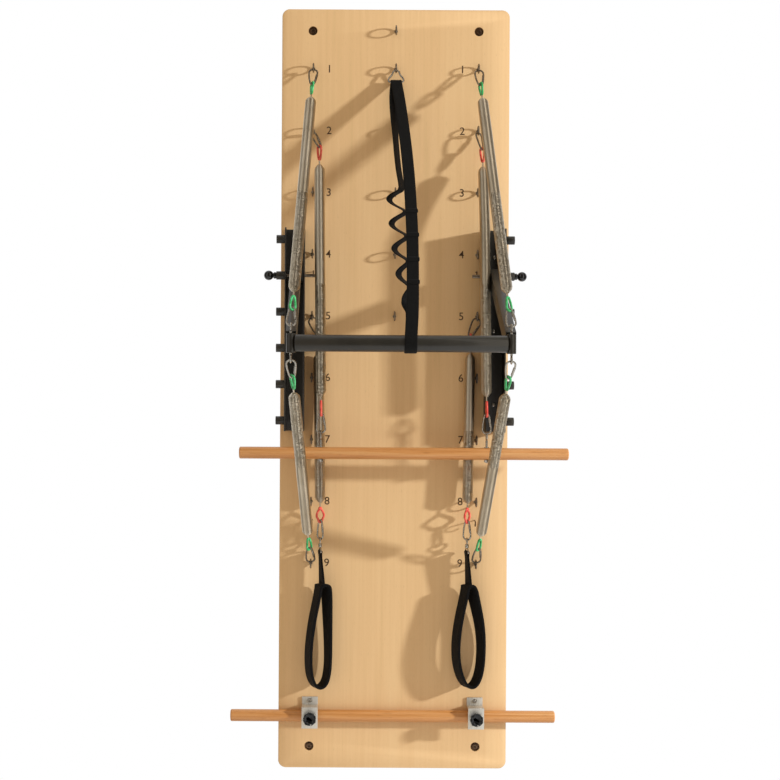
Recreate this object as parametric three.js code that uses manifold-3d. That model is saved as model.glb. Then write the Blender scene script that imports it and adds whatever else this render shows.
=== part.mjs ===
// A wall-mounted pilates tower unit: a tall plywood board with numbered columns of eye bolts,
// eight extension springs on snap hooks, a swinging push-through bar on two arms, a hanging
// roll-down bar, two handles, a safety strap and a clamped foot bar.
// Millimetres. +X is right, +Z is up, and the board's front looks along -Y.
// The origin is the middle of the board's back face, which lies on the wall.

import * as THREE from "three";
import { mergeVertices } from "three/addons/utils/BufferGeometryUtils.js";
import Module from "manifold-3d";

const wasm = await Module();
wasm.setup();

// General fits
const seat_gap = 0.3; // between pieces that rest on each other
const running_gap = 0.35; // round a pin or stud that turns
const hook_gap = 0.6; // between a hook and the wire that it holds
const overrun = 5; // how far a cutting tool passes the face that it cuts
const weld_bite = 0.4; // how far pieces that are made as one overlap
const merge_distance = 0.001;

// Board
const board_width = 600;
const board_height = 2000;
const board_thickness = 28;
const board_corner_radius = 20;
const board_edge_chamfer = 1.5;
const wall_hole_side_inset = 81; // board's side to the hole's middle
const wall_hole_end_inset = 57; // board's end to the hole's middle
const wall_hole_radius = 5.5;
const counterbore_radius = 12;
const counterbore_depth = 9;

// Rows of eye bolts
const row_count = 9;
const first_row_inset = 158; // board's top end to the first row
const last_row_inset = 540; // board's lower end to the last row
const middle_row_count = 5;
const top_eye_inset = 58; // board's top end to the top eye
const column_clearance = 5; // springs that hang in a side column to the channel beside it

// Eye bolts
const eye_wire_radius = 2;
const eye_ring_radius = 11;
const eye_standoff = 14.5; // board face to the middle of the ring
const eye_shank_radius = 2.6;
const eye_shank_depth = 20;
const eye_flange_radius = 4.5;
const eye_flange_thickness = 1.5;

// Snap hooks
const hook_wire_radius = 2.25;
const hook_wide_radius = 11;
const hook_narrow_radius = 6.1;
const hook_length = 50; // between the middles of the wire at the two ends
const gate_radius = 3.1;
const gate_length = 22;

// Extension springs
const spring_radius = 14;
const spring_wire = 3;
const spring_crown = 1.1; // how far each turn bulges past its edges
const turn_gap = 1.2;
const first_turn_height = 1;
const end_loop_wire_radius = 3; // wire in its coloured sleeve
const end_loop_radius = 7;
const end_loop_length = 38; // between the middles of the wire at the two ends
const neck_radius = 2.2;
const neck_length = 14;
const cone_length = 20;
const cone_lap = 3; // how far the end cone reaches into the first turn
const upper_turns = 6;
const roll_turns = 6;
const lower_turns = 5;
const handle_turns = 4;

// Side channels that carry the arms
const channel_side_inset = 12; // board's side to the channel's outer wall
const channel_top_inset = 582; // board's top end to the channel's
const channel_width = 52;
const channel_depth = 56;
const channel_wall = 4;
const channel_bend_radius = 2; // inside of its folds
const channel_height = 530;
const station_count = 6;
const first_station_inset = 30; // channel's top end to the first boss's middle
const last_station_inset = 28; // channel's lower end to the last boss's middle
const axle_station = 1; // counted from 0 at the top
const axle_inset = 12; // channel's front edge to the axle
const boss_radius = 11;
const boss_length = 22;

// Axle pins with ball knobs
const axle_radius = 4.5;
const axle_reach = 50; // how far the rod passes the channel's inner wall
const axle_tip_chamfer = 1.5;
const collar_radius = 8.5;
const collar_length = 7;
const ball_radius = 12.7;
const ball_neck_radius = 6;

// Push-through bar
const arm_inset = 3; // how far the arm lies inwards of the channel's middle
const arm_width = 25;
const arm_height = 40;
const arm_wall = 2;
const arm_edge_chamfer = 1.5;
const arm_length = 400; // axle to the middle of the crossbar
const arm_drop_angle = THREE.MathUtils.degToRad(28);
const crossbar_radius = 20;
const crossbar_wall = 2.5;
const end_post_radius = 11;
const end_post_height = 46;
const end_eye_radius = 9;
const end_eye_reach = 14; // post's end to the middle of its ring
const end_shank_radius = 3;

// Roll-down bar
const dowel_radius = 15.5;
const dowel_length = 850;
const dowel_end_radius = 4;
const roll_bar_drop = 846.25; // second row to the bar's middle
const roll_shift_x = 23; // the bar hangs to the right of the middle
const roll_eye_inset = 3; // how far its eyes lie inwards of the side columns
const roll_eye_height = 46; // bar's middle to the middle of its eye
const roll_shank_radius = 3;
const roll_nut_radius = 7;
const roll_nut_height = 6;
const roll_top_drift = [17, 9]; // how far the left and right top hooks lean to the right
const roll_hook_angle = THREE.MathUtils.degToRad(15); // the top hooks' lean out from the board
const roll_bend_lap = 24; // how far below the channels' top ends its springs hang plumb
const channel_clearance = 4; // springs to the channels' front edges, where they lie in front

// Handles on the short springs
const handle_row = 4; // counted from 0 at the top
const handle_clearance = 62.5; // foot bar to the loop's foot
const handle_hook_lean = 17; // sideways lean of the top hook
const handle_spring_lean = 8; // sideways lean of the spring below it
const swivel_ring_radius = 8;
const swivel_barrel_radius = 5;
const swivel_barrel_length = 10;
const bail_wire_radius = 2;
const bail_width = 30;
const bail_height = 12;
const webbing_thickness = 3;
const handle_webbing_width = 25;
const handle_tongue_length = 82;
const handle_loop_length = 268;
const handle_loop_widths = [62, 76]; // left and right
const handle_band_width = 40;
const handle_band_thickness = 8;
const handle_turn_angle = THREE.MathUtils.degToRad(10);

// Safety strap and its ring
const strap_width = 30;
const strap_thickness = 3;
const strap_bar_x = 22;
const strap_ring_wire_radius = 2.5;
const strap_ring_height = 30;
const strap_ring_width = 40;
const strap_ring_top_radius = 10;
const strap_ring_corner_radius = 5;
const strap_bulge_sizes = [34, 31, 27, 21, 12];
const strap_bulge_start_share = 0.42;
const strap_bulge_end_share = 0.86;

// Foot bar and its clamps
const foot_bar_inset = 141; // board's lower end to the bar's middle
const clamp_width = 42;
const clamp_thickness = 4;
const clamp_bend_radius = 3; // inside of its folds
const clamp_tab_height = 19;
const clamp_drop = 56;
const clamp_clearance = 8; // bar's front to the clamp's plate
const clamp_screw_hole_radius = 3;
const knob_radius = 16.5;
const knob_lobe = 1.6;
const knob_lobe_count = 7;
const knob_steps_per_lobe = 3;
const knob_thickness = 13;
const knob_bevel = 2;
const knob_hub_radius = 9;
const knob_hub_length = 5;
const stud_radius = 4;

// Facets
const ring_steps = 8;
const ring_sides = 5;
const wire_sides = 5;
const round_sides = 12;
const small_sides = 8;
const hole_sides = 6;
const arc_steps = 4;
const curl_steps = 8;

// Places worked out from the sizes
const board_face = -board_thickness;
const board_top = board_height / 2;
const wall_hole_x = board_width / 2 - wall_hole_side_inset;
const wall_hole_z = board_top - wall_hole_end_inset;
const row_one_z = board_top - first_row_inset;
const row_pitch = (board_height - first_row_inset - last_row_inset) / (row_count - 1);
const channel_x = board_width / 2 - channel_side_inset - channel_width / 2;
const channel_inner_x = channel_x - channel_width / 2;
const channel_top_z = board_top - channel_top_inset;
const column_x = channel_inner_x - spring_radius - column_clearance;
const eye_y = board_face - eye_standoff;
const station_span = channel_height - first_station_inset - last_station_inset;
const station_pitch = station_span / (station_count - 1);
const station_one_z = channel_top_z - first_station_inset;
const axle_inner_x = channel_inner_x - axle_reach;
const axle_y = board_face - channel_depth + axle_inset;
const axle_z = station_one_z - axle_station * station_pitch;
const arm_x = channel_x - arm_inset;
const bar_y = axle_y - arm_length * Math.cos(arm_drop_angle);
const bar_z = axle_z - arm_length * Math.sin(arm_drop_angle);
const roll_eye_x = column_x - roll_eye_inset;
const roll_bar_y = board_face - channel_depth - spring_radius - channel_clearance;
const roll_bar_z = row_one_z - row_pitch - roll_bar_drop;
const foot_bar_z = foot_bar_inset - board_top;
const foot_bar_y = board_face - dowel_radius - seat_gap;
const clamp_plate_y = foot_bar_y - dowel_radius - clamp_clearance;
const hook_seat = hook_wide_radius - hook_wire_radius - hook_gap - eye_wire_radius;
const hook_reach =
  hook_seat - hook_wide_radius + hook_length - hook_wire_radius - hook_gap - end_loop_wire_radius;

// Materials
function finish(color, roughness, metalness) {
  return new THREE.MeshStandardMaterial({ color, roughness, metalness });
}
const plywood = finish(0xd9b483, 0.55, 0);
const zinc = finish(0xb9b7b0, 0.35, 0.9);
const spring_steel = finish(0xa79f94, 0.3, 0.95);
const black_steel = finish(0x1d1c1b, 0.45, 0.4);
const black_plastic = finish(0x121212, 0.3, 0);
const beech = finish(0xd59b57, 0.45, 0);
const webbing = finish(0x161616, 0.85, 0);
const brushed_plate = finish(0xb4b2ad, 0.4, 0.85);

const tower = new THREE.Group();
const at = (x, y, z) => new THREE.Vector3(x, y, z);
const across = at(1, 0, 0);
const down = at(0, 0, -1);
const toward = (from, to) => to.clone().sub(from).normalize();

// A closed mesh as a solid that can be cut and joined.
function solid(geometry) {
  const bare = geometry.index ? geometry.toNonIndexed() : geometry.clone();
  bare.deleteAttribute("normal");
  bare.deleteAttribute("uv");
  const merged = mergeVertices(bare, merge_distance);
  return new wasm.Manifold(
    new wasm.Mesh({
      numProp: 3,
      vertProperties: merged.attributes.position.array,
      triVerts: new Uint32Array(merged.index.array),
    }),
  );
}

function geometryOf(body) {
  const mesh = body.getMesh();
  const geometry = new THREE.BufferGeometry();
  geometry.setAttribute("position", new THREE.BufferAttribute(mesh.vertProperties, 3));
  geometry.setIndex(new THREE.BufferAttribute(mesh.triVerts, 1));
  const flat = geometry.toNonIndexed();
  flat.computeVertexNormals();
  return flat;
}

// Corner radius of a faceted bore whose flats clear a round piece by a gap.
const boreRadius = (radius, gap) => (radius + gap) / Math.cos(Math.PI / hole_sides);

const join = (...bodies) => bodies.reduce((whole, body) => whole.add(body));
const cut = (body, ...tools) => tools.reduce((whole, tool) => whole.subtract(tool), body);

function addPiece(name, body, material, parent = tower) {
  const mesh = new THREE.Mesh(geometryOf(body), material);
  mesh.name = name;
  parent.add(mesh);
  return mesh;
}

// Round bars along each axis, centred on a point.
function barY(radius, length, place, sides = small_sides) {
  const shape = new THREE.CylinderGeometry(radius, radius, length, sides);
  return solid(shape.translate(place.x, place.y, place.z));
}

function barX(radius, length, place, sides = small_sides) {
  const shape = new THREE.CylinderGeometry(radius, radius, length, sides);
  return solid(shape.rotateZ(Math.PI / 2).translate(place.x, place.y, place.z));
}

function barZ(radius, length, place, sides = small_sides) {
  const shape = new THREE.CylinderGeometry(radius, radius, length, sides);
  return solid(shape.rotateX(Math.PI / 2).translate(place.x, place.y, place.z));
}

function block(width, depth, height, place) {
  const shape = new THREE.BoxGeometry(width, depth, height);
  return solid(shape.translate(place.x, place.y, place.z));
}

// An outline drawn in X and Z, extruded forwards from the plane y = 0.
function forwards(shape, options) {
  return new THREE.ExtrudeGeometry(shape, options).rotateX(Math.PI / 2);
}

// An outline drawn in Y and Z, extruded along X.
function sideways(shape, options) {
  const turn = new THREE.Matrix4().makeBasis(at(0, 1, 0), at(0, 0, 1), across);
  return new THREE.ExtrudeGeometry(shape, options).applyMatrix4(turn);
}

// A skin over rings of points, closed on itself or capped at its two ends.
function skin(rings, closed) {
  const sides = rings[0].length;
  const positions = rings.flat().flatMap((point) => [point.x, point.y, point.z]);
  const faces = [];
  const spans = closed ? rings.length : rings.length - 1;
  for (let ring = 0; ring < spans; ring += 1) {
    const next = (ring + 1) % rings.length;
    for (let side = 0; side < sides; side += 1) {
      const a = ring * sides + side;
      const b = ring * sides + ((side + 1) % sides);
      const c = next * sides + side;
      const d = next * sides + ((side + 1) % sides);
      faces.push(a, b, d, a, d, c);
    }
  }
  if (!closed) {
    const last = (rings.length - 1) * sides;
    for (let side = 1; side < sides - 1; side += 1) {
      faces.push(0, side + 1, side, last, last + side, last + side + 1);
    }
  }
  const geometry = new THREE.BufferGeometry();
  geometry.setAttribute("position", new THREE.Float32BufferAttribute(positions, 3));
  geometry.setIndex(faces);
  const body = solid(geometry);
  if (body.volume() > 0) return body;
  geometry.setIndex(faces.map((_, i) => faces[i - (i % 3) + 2 - (i % 3)]));
  return solid(geometry);
}

// Rings of a section carried along a closed path. Each point has a width direction, and may
// have a share by which the section is larger there.
function sweepClosed(path, section) {
  const rings = path.map((step, i) => {
    const before = path[(i + path.length - 1) % path.length].point;
    const after = path[(i + 1) % path.length].point;
    const tangent = after.clone().sub(before).normalize();
    const width = step.width.clone();
    width.addScaledVector(tangent, -width.dot(tangent)).normalize();
    const thick = tangent.clone().cross(width);
    const share = step.size_share ?? 1;
    return section.map(([w, t]) =>
      step.point.clone().addScaledVector(width, w * share).addScaledVector(thick, t * share),
    );
  });
  return skin(rings, true);
}

const roundSection = (radius, sides) =>
  Array.from({ length: sides }, (_, side) => {
    const angle = (2 * Math.PI * side) / sides;
    return [radius * Math.cos(angle), radius * Math.sin(angle)];
  });

const flatSection = (width, thickness) => [
  [-width / 2, -thickness / 2],
  [width / 2, -thickness / 2],
  [width / 2, thickness / 2],
  [-width / 2, thickness / 2],
];

// Points on an arc in X and Z, from one angle to another.
function arcPoints(x, z, radius, from, to, steps) {
  return Array.from({ length: steps + 1 }, (_, i) => {
    const angle = from + ((to - from) * i) / steps;
    return at(x + radius * Math.cos(angle), 0, z + radius * Math.sin(angle));
  });
}

// A loop of wire in X and Z with a wide end at top_z and a narrow end at bottom_z. A gate is a
// thicker stretch in the middle of its right side.
function wireLoop(top_z, top_radius, bottom_z, bottom_radius, wire_radius, bottom_steps, gate) {
  const slope = Math.asin((top_radius - bottom_radius) / (top_z - bottom_z));
  const upper = arcPoints(0, top_z, top_radius, -slope, Math.PI + slope, arc_steps);
  const lower = arcPoints(
    0,
    bottom_z,
    bottom_radius,
    Math.PI + slope,
    2 * Math.PI - slope,
    bottom_steps,
  );
  const path = [...upper, ...lower].map((point) => ({ point, width: at(0, 1, 0) }));
  if (gate) {
    const start = lower[lower.length - 1];
    const middle = start.clone().add(upper[0]).divideScalar(2);
    const half = toward(start, upper[0]).multiplyScalar(gate.length / 2);
    const size_share = gate.radius / wire_radius;
    path.push({ point: middle.clone().sub(half), width: at(0, 1, 0), size_share });
    path.push({ point: middle.clone().add(half), width: at(0, 1, 0), size_share });
  }
  return sweepClosed(path, roundSection(wire_radius, wire_sides));
}

// Snap hook hanging from the origin, where the wire that carries it passes, down to its nose
const hook_top_z = -hook_seat;
const hook_bottom_z = -hook_seat + hook_wide_radius - hook_length + hook_narrow_radius;
const hook = wireLoop(
  hook_top_z,
  hook_wide_radius,
  hook_bottom_z,
  hook_narrow_radius,
  hook_wire_radius,
  arc_steps - 1,
  { radius: gate_radius, length: gate_length },
);

// Eye bolt with its flange on the plane y = 0 and its shank behind it.
function eyeBolt() {
  const ring = new THREE.TorusGeometry(eye_ring_radius, eye_wire_radius, ring_sides, ring_steps)
    .rotateY(Math.PI / 2)
    .translate(0, -eye_standoff, 0);
  const stem_front = eye_standoff - eye_ring_radius;
  const stem_length = stem_front + eye_shank_depth;
  const stem_middle = (eye_shank_depth - stem_front) / 2;
  const flange_middle = -seat_gap - eye_flange_thickness / 2;
  return join(
    solid(ring),
    barY(eye_shank_radius, stem_length, at(0, stem_middle, 0), wire_sides),
    barY(eye_flange_radius, eye_flange_thickness, at(0, flange_middle, 0), hole_sides),
  );
}
const eye = eyeBolt();

// The turn that lays local -Z along a direction and keeps local X level.
function along(direction) {
  const up = direction.clone().negate().normalize();
  const side = across.clone().addScaledVector(up, -up.x).normalize();
  const ahead = up.clone().cross(side);
  return new THREE.Matrix4().makeBasis(side, ahead, up);
}

const moved = (body, matrix, place) =>
  solid(geometryOf(body).applyMatrix4(matrix).translate(place.x, place.y, place.z));

// A hook made as one with the eye bolt that carries it.
function eyeWithHook(direction) {
  const level = at(0, direction.y, direction.z).normalize();
  const bearing = level.multiplyScalar(eye_ring_radius).add(at(0, -eye_standoff, 0));
  const contact = direction.clone().multiplyScalar(hook_gap + weld_bite);
  return join(eye, moved(hook, along(direction), bearing.add(contact)));
}

// The coil's rings of points. Each turn is a flattened tube, and the ends are squared as on a
// closed coil.
const spring_end_length = end_loop_length + neck_length + cone_length;

function coilRings(length, turns) {
  const coil_length = length - 2 * spring_end_length;
  const pitch = (coil_length + turn_gap) / turns;
  const first = (turn_gap + first_turn_height) / pitch;
  const steps = Math.round((turns + 1 - 2 * first) * curl_steps);
  return Array.from({ length: steps + 1 }, (_, i) => {
    const turn = first + ((turns + 1 - 2 * first) * i) / steps;
    const high = Math.min(turn * pitch - turn_gap, coil_length);
    const low = Math.max((turn - 1) * pitch, 0);
    const angle = turn * 2 * Math.PI;
    const edge = spring_radius - spring_crown;
    const inner = spring_radius - spring_wire;
    const profile = [
      [low, edge],
      [(low + high) / 2, spring_radius],
      [high, edge],
      [high, inner],
      [low, inner],
    ];
    return profile.map(([s, r]) =>
      at(r * Math.cos(angle), r * Math.sin(angle), -spring_end_length - s),
    );
  });
}

// Least gap of a coil to itself, measured between the points of rings half a turn or more apart
function leastTurnGap(rings) {
  let least = Infinity;
  for (let i = 0; i < rings.length; i += 1) {
    for (let j = i + curl_steps / 2; j < rings.length; j += 1) {
      for (const near of rings[i]) {
        for (const far of rings[j]) least = Math.min(least, near.distanceTo(far));
      }
    }
  }
  return least;
}

// Spring from the middle of one end loop's wire, at the origin, to the other's, at z = -length.
// A bent spring starts off its line and comes back to it within the bend's reach, as the rest of
// that reach to a power.
function extensionSpring(length, rings, bend) {
  const coil = skin(rings, false);
  const loop_middle = -end_loop_radius;
  const loop_end = -end_loop_length + end_loop_radius;
  const end_loop = moved(
    wireLoop(
      loop_middle,
      end_loop_radius,
      loop_end,
      end_loop_radius,
      end_loop_wire_radius,
      arc_steps / 2,
    ),
    new THREE.Matrix4().makeRotationZ(Math.PI / 2),
    at(0, 0, 0),
  );
  const cone_radius = spring_radius - spring_crown;
  const profile = [
    new THREE.Vector2(0, -end_loop_length),
    new THREE.Vector2(neck_radius, -end_loop_length),
    new THREE.Vector2(neck_radius, -end_loop_length - neck_length),
    new THREE.Vector2(cone_radius, -spring_end_length),
    new THREE.Vector2(cone_radius, -spring_end_length - cone_lap),
    new THREE.Vector2(0, -spring_end_length - cone_lap),
  ].reverse();
  const cone = solid(new THREE.LatheGeometry(profile, hole_sides).rotateX(Math.PI / 2));
  const top = join(end_loop, cone);
  const flip = new THREE.Matrix4().makeRotationX(Math.PI);
  const bottom = moved(top, flip, at(0, 0, -length));
  const whole = join(coil, top, bottom);
  if (!bend) return whole;
  const geometry = geometryOf(whole);
  const points = geometry.attributes.position;
  for (let i = 0; i < points.count; i += 1) {
    const rest_share = Math.min(Math.max(1 + points.getZ(i) / bend.reach, 0), 1);
    points.setY(i, points.getY(i) + bend.offset * rest_share ** bend.power);
  }
  return solid(geometry);
}

// Board with its wall holes and the holes for the eye bolts
function rowZ(row) {
  return row_one_z - row * row_pitch;
}

function boardOutline() {
  const x = board_width / 2;
  const z = board_height / 2;
  const r = board_corner_radius;
  const outline = new THREE.Shape();
  outline.moveTo(-x + r, -z);
  outline.lineTo(x - r, -z);
  outline.absarc(x - r, -z + r, r, -Math.PI / 2, 0, false);
  outline.lineTo(x, z - r);
  outline.absarc(x - r, z - r, r, 0, Math.PI / 2, false);
  outline.lineTo(-x + r, z);
  outline.absarc(-x + r, z - r, r, Math.PI / 2, Math.PI, false);
  outline.lineTo(-x, -z + r);
  outline.absarc(-x + r, -z + r, r, Math.PI, (3 * Math.PI) / 2, false);
  return outline;
}

const eye_places = [];
for (let row = 0; row < row_count; row += 1) {
  eye_places.push({ name: `eye_bolt_left_${row + 1}`, x: -column_x, z: rowZ(row) });
  eye_places.push({ name: `eye_bolt_right_${row + 1}`, x: column_x, z: rowZ(row) });
}
for (let row = 0; row < middle_row_count; row += 1) {
  eye_places.push({ name: `eye_bolt_middle_${row + 1}`, x: 0, z: rowZ(row) });
}
eye_places.push({ name: "eye_bolt_top", x: 0, z: board_top - top_eye_inset });

function makeBoard() {
  const slab = forwards(boardOutline(), {
    depth: board_thickness - 2 * board_edge_chamfer,
    bevelEnabled: true,
    bevelThickness: board_edge_chamfer,
    bevelSize: board_edge_chamfer,
    bevelOffset: -board_edge_chamfer,
    bevelSegments: 1,
    curveSegments: arc_steps,
  }).translate(0, -board_edge_chamfer, 0);
  const tools = [];
  for (const x of [-wall_hole_x, wall_hole_x]) {
    for (const z of [-wall_hole_z, wall_hole_z]) {
      const through = board_thickness + 2 * overrun;
      tools.push(barY(wall_hole_radius, through, at(x, -board_thickness / 2, z), hole_sides));
      const bore = counterbore_depth + overrun;
      const bore_y = board_face + counterbore_depth - bore / 2;
      tools.push(barY(counterbore_radius, bore, at(x, bore_y, z), round_sides));
    }
  }
  const hole_radius = boreRadius(eye_shank_radius, seat_gap);
  const hole_depth = eye_shank_depth + seat_gap;
  for (const place of eye_places) {
    const length = hole_depth + overrun;
    const y = board_face + hole_depth - length / 2;
    tools.push(barY(hole_radius, length, at(place.x, y, place.z), hole_sides));
  }
  return cut(solid(slab), ...tools);
}
addPiece("board", makeBoard(), plywood);

const axle_bore_radius = boreRadius(axle_radius, running_gap);

// Side channels, folded from sheet, each with a row of bosses. The free ones are plugged, and one
// takes the axle.
function makeChannel(side) {
  const inner = channel_width / 2;
  const bend = channel_bend_radius;
  const outer = bend + channel_wall;
  const fold = inner - outer;
  const profile = new THREE.Shape();
  profile.moveTo(-inner, -channel_depth);
  profile.lineTo(-inner + channel_wall, -channel_depth);
  profile.absarc(-fold, -outer, bend, Math.PI, Math.PI / 2, true);
  profile.absarc(fold, -outer, bend, Math.PI / 2, 0, true);
  profile.lineTo(inner - channel_wall, -channel_depth);
  profile.lineTo(inner, -channel_depth);
  profile.absarc(fold, -outer, outer, 0, Math.PI / 2, false);
  profile.absarc(-fold, -outer, outer, Math.PI / 2, Math.PI, false);
  const shape = new THREE.ExtrudeGeometry(profile, {
    depth: channel_height,
    curveSegments: arc_steps / 2,
    bevelEnabled: false,
  });
  const foot = channel_top_z - channel_height;
  const x = side * channel_x;
  let channel = solid(shape.translate(x, board_face - seat_gap, foot));
  const boss_reach = boss_length + weld_bite;
  const boss_x = x + side * (inner - weld_bite + boss_reach / 2);
  for (let station = 0; station < station_count; station += 1) {
    const z = station_one_z - station * station_pitch;
    channel = channel.add(barX(boss_radius, boss_reach, at(boss_x, axle_y, z)));
  }
  const bore_length = channel_width + boss_length + 2 * overrun;
  const bore_x = x + (side * boss_length) / 2;
  return cut(channel, barX(axle_bore_radius, bore_length, at(bore_x, axle_y, axle_z), hole_sides));
}

// Axle pin with a collar and a ball knob, pulled out sideways to free the arm
function makeAxlePin(side) {
  const boss_face = channel_x + channel_width / 2 + boss_length + seat_gap;
  const length = boss_face - axle_inner_x;
  const ball_middle = length + collar_length + ball_radius - seat_gap;
  const profile = [
    new THREE.Vector2(0, 0),
    new THREE.Vector2(axle_radius - axle_tip_chamfer, 0),
    new THREE.Vector2(axle_radius, axle_tip_chamfer),
    new THREE.Vector2(axle_radius, length),
    new THREE.Vector2(collar_radius, length),
    new THREE.Vector2(collar_radius, length + collar_length / 2),
    new THREE.Vector2(ball_neck_radius, length + collar_length),
  ];
  const neck_angle = Math.acos(ball_neck_radius / ball_radius);
  for (let i = 1; i <= arc_steps; i += 1) {
    const angle = -neck_angle + ((neck_angle + Math.PI / 2) * i) / arc_steps;
    const r = i === arc_steps ? 0 : ball_radius * Math.cos(angle);
    profile.push(new THREE.Vector2(r, ball_middle + ball_radius * Math.sin(angle)));
  }
  const pin = new THREE.LatheGeometry(profile, small_sides).rotateZ(-side * (Math.PI / 2));
  return solid(pin.translate(side * axle_inner_x, axle_y, axle_z));
}

// Arm: a rectangular tube with a round, bored end at the axle and a plumb end at the post
function makeArm(side) {
  const half = arm_height / 2;
  const outline = new THREE.Shape();
  outline.moveTo(-arm_length, -half);
  outline.lineTo(0, -half);
  outline.absarc(0, 0, half, -Math.PI / 2, Math.PI / 2, false);
  outline.lineTo(-arm_length, half);
  const tilt = new THREE.Matrix4().makeRotationX(arm_drop_angle);
  const tube = sideways(outline, {
    depth: arm_width - 2 * arm_edge_chamfer,
    curveSegments: arc_steps,
    bevelEnabled: true,
    bevelThickness: arm_edge_chamfer,
    bevelSize: arm_edge_chamfer,
    bevelOffset: -arm_edge_chamfer,
    bevelSegments: 1,
  })
    .translate(arm_edge_chamfer - arm_width / 2, 0, 0)
    .applyMatrix4(tilt);
  const hollow_length = arm_length - half + overrun;
  const hollow = new THREE.BoxGeometry(
    arm_width - 2 * arm_wall,
    hollow_length,
    arm_height - 2 * arm_wall,
  )
    .translate(0, -half - hollow_length / 2, 0)
    .applyMatrix4(tilt);
  const place = at(side * arm_x, axle_y, axle_z);
  const still = new THREE.Matrix4();
  const post_back = bar_y + end_post_radius + seat_gap;
  const trim_depth = arm_height + arm_length;
  const trim = block(
    arm_width + 2 * overrun,
    trim_depth,
    2 * arm_length,
    at(side * arm_x, post_back - trim_depth / 2, bar_z),
  );
  return cut(
    moved(solid(tube), still, place),
    moved(solid(hollow), still, place),
    barX(axle_bore_radius, arm_width + 2 * overrun, place, hole_sides),
    trim,
  );
}

// End post with an eye at each end for the springs' hooks
function makeEndPost(side) {
  const place = at(side * arm_x, bar_y, bar_z);
  const pieces = [barZ(end_post_radius, end_post_height, place, round_sides)];
  for (const end of [-1, 1]) {
    const ring_z = bar_z + end * (end_post_height / 2 + end_eye_reach);
    const ring = new THREE.TorusGeometry(end_eye_radius, eye_wire_radius, ring_sides, ring_steps)
      .rotateY(Math.PI / 2)
      .translate(place.x, bar_y, ring_z);
    const shank_length = end_eye_reach - end_eye_radius + weld_bite;
    const shank_z = bar_z + end * (end_post_height / 2 - weld_bite + shank_length / 2);
    pieces.push(solid(ring), barZ(end_shank_radius, shank_length, at(place.x, bar_y, shank_z)));
  }
  return join(...pieces);
}

const crossbar_length = 2 * (arm_x - arm_width / 2 - seat_gap);
const crossbar = cut(
  barX(crossbar_radius, crossbar_length, at(0, bar_y, bar_z), round_sides + arc_steps),
  barX(
    crossbar_radius - crossbar_wall,
    crossbar_length + 2 * overrun,
    at(0, bar_y, bar_z),
    round_sides,
  ),
);
addPiece("push_crossbar", crossbar, black_steel);

const sides = [
  { side: -1, name: "left" },
  { side: 1, name: "right" },
];
for (const { side, name } of sides) {
  addPiece(`side_channel_${name}`, makeChannel(side), black_steel);
  addPiece(`axle_pin_${name}`, makeAxlePin(side), black_plastic);
  addPiece(`push_arm_${name}`, makeArm(side), black_steel);
  addPiece(`end_post_${name}`, makeEndPost(side), black_steel);
}

// Springs. Each run goes from the wire that carries its first hook to the wire that carries its
// last one, and its hooks reach from those wires to the spring's end loops.
const eyes_with_hooks = new Map();

// The bearing wire of a ring, on the side that faces along a direction.
function bearingOn(middle, ring_radius, direction) {
  const level = at(0, direction.y, direction.z).normalize();
  return middle.clone().addScaledVector(level, ring_radius);
}

function addHook(name, bearing, direction) {
  const mesh = addPiece(name, hook, zinc);
  mesh.applyMatrix4(along(direction));
  mesh.position.copy(bearing);
}

function addSpring(name, from, to, turns, bend) {
  const length = from.distanceTo(to);
  const rings = coilRings(length, turns);
  const mesh = addPiece(name, extensionSpring(length, rings, bend), spring_steel);
  mesh.applyMatrix4(along(toward(from, to)));
  mesh.position.copy(from);
  const gap = leastTurnGap(rings);
  console.log(`${name}: least gap between turns ${gap.toFixed(2)} mm`);
}

// Upper and lower springs of the push-through bar, straight from the board to the end posts
for (const { side, name } of sides) {
  const post_ring = end_post_height / 2 + end_eye_reach;
  const ends = [
    { level: "upper", row: 0, ring_z: bar_z + post_ring, turns: upper_turns },
    { level: "lower", row: row_count - 1, ring_z: bar_z - post_ring, turns: lower_turns },
  ];
  for (const { level, row, ring_z, turns } of ends) {
    const eye_middle = at(side * column_x, eye_y, rowZ(row));
    const ring_middle = at(side * arm_x, bar_y, ring_z);
    const run = toward(eye_middle, ring_middle);
    const back = run.clone().negate();
    const eye_bearing = bearingOn(eye_middle, eye_ring_radius, run);
    const ring_bearing = bearingOn(ring_middle, end_eye_radius, back);
    const line = toward(eye_bearing, ring_bearing);
    const loop_at_eye = eye_bearing.clone().addScaledVector(line, hook_reach);
    const loop_at_ring = ring_bearing.clone().addScaledVector(line, -hook_reach);
    addSpring(`${level}_spring_${name}`, loop_at_eye, loop_at_ring, turns);
    addHook(`${level}_hook_${name}`, ring_bearing, line.clone().negate());
    eyes_with_hooks.set(`eye_bolt_${name}_${row + 1}`, line);
  }
}

// Roll-down bar on its two long springs. They start at the board, come out past the front edges
// of the side channels, and hang plumb from there, in front of the axle pins.
const roll_eye_top_z = roll_bar_z + roll_eye_height + eye_ring_radius;

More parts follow.
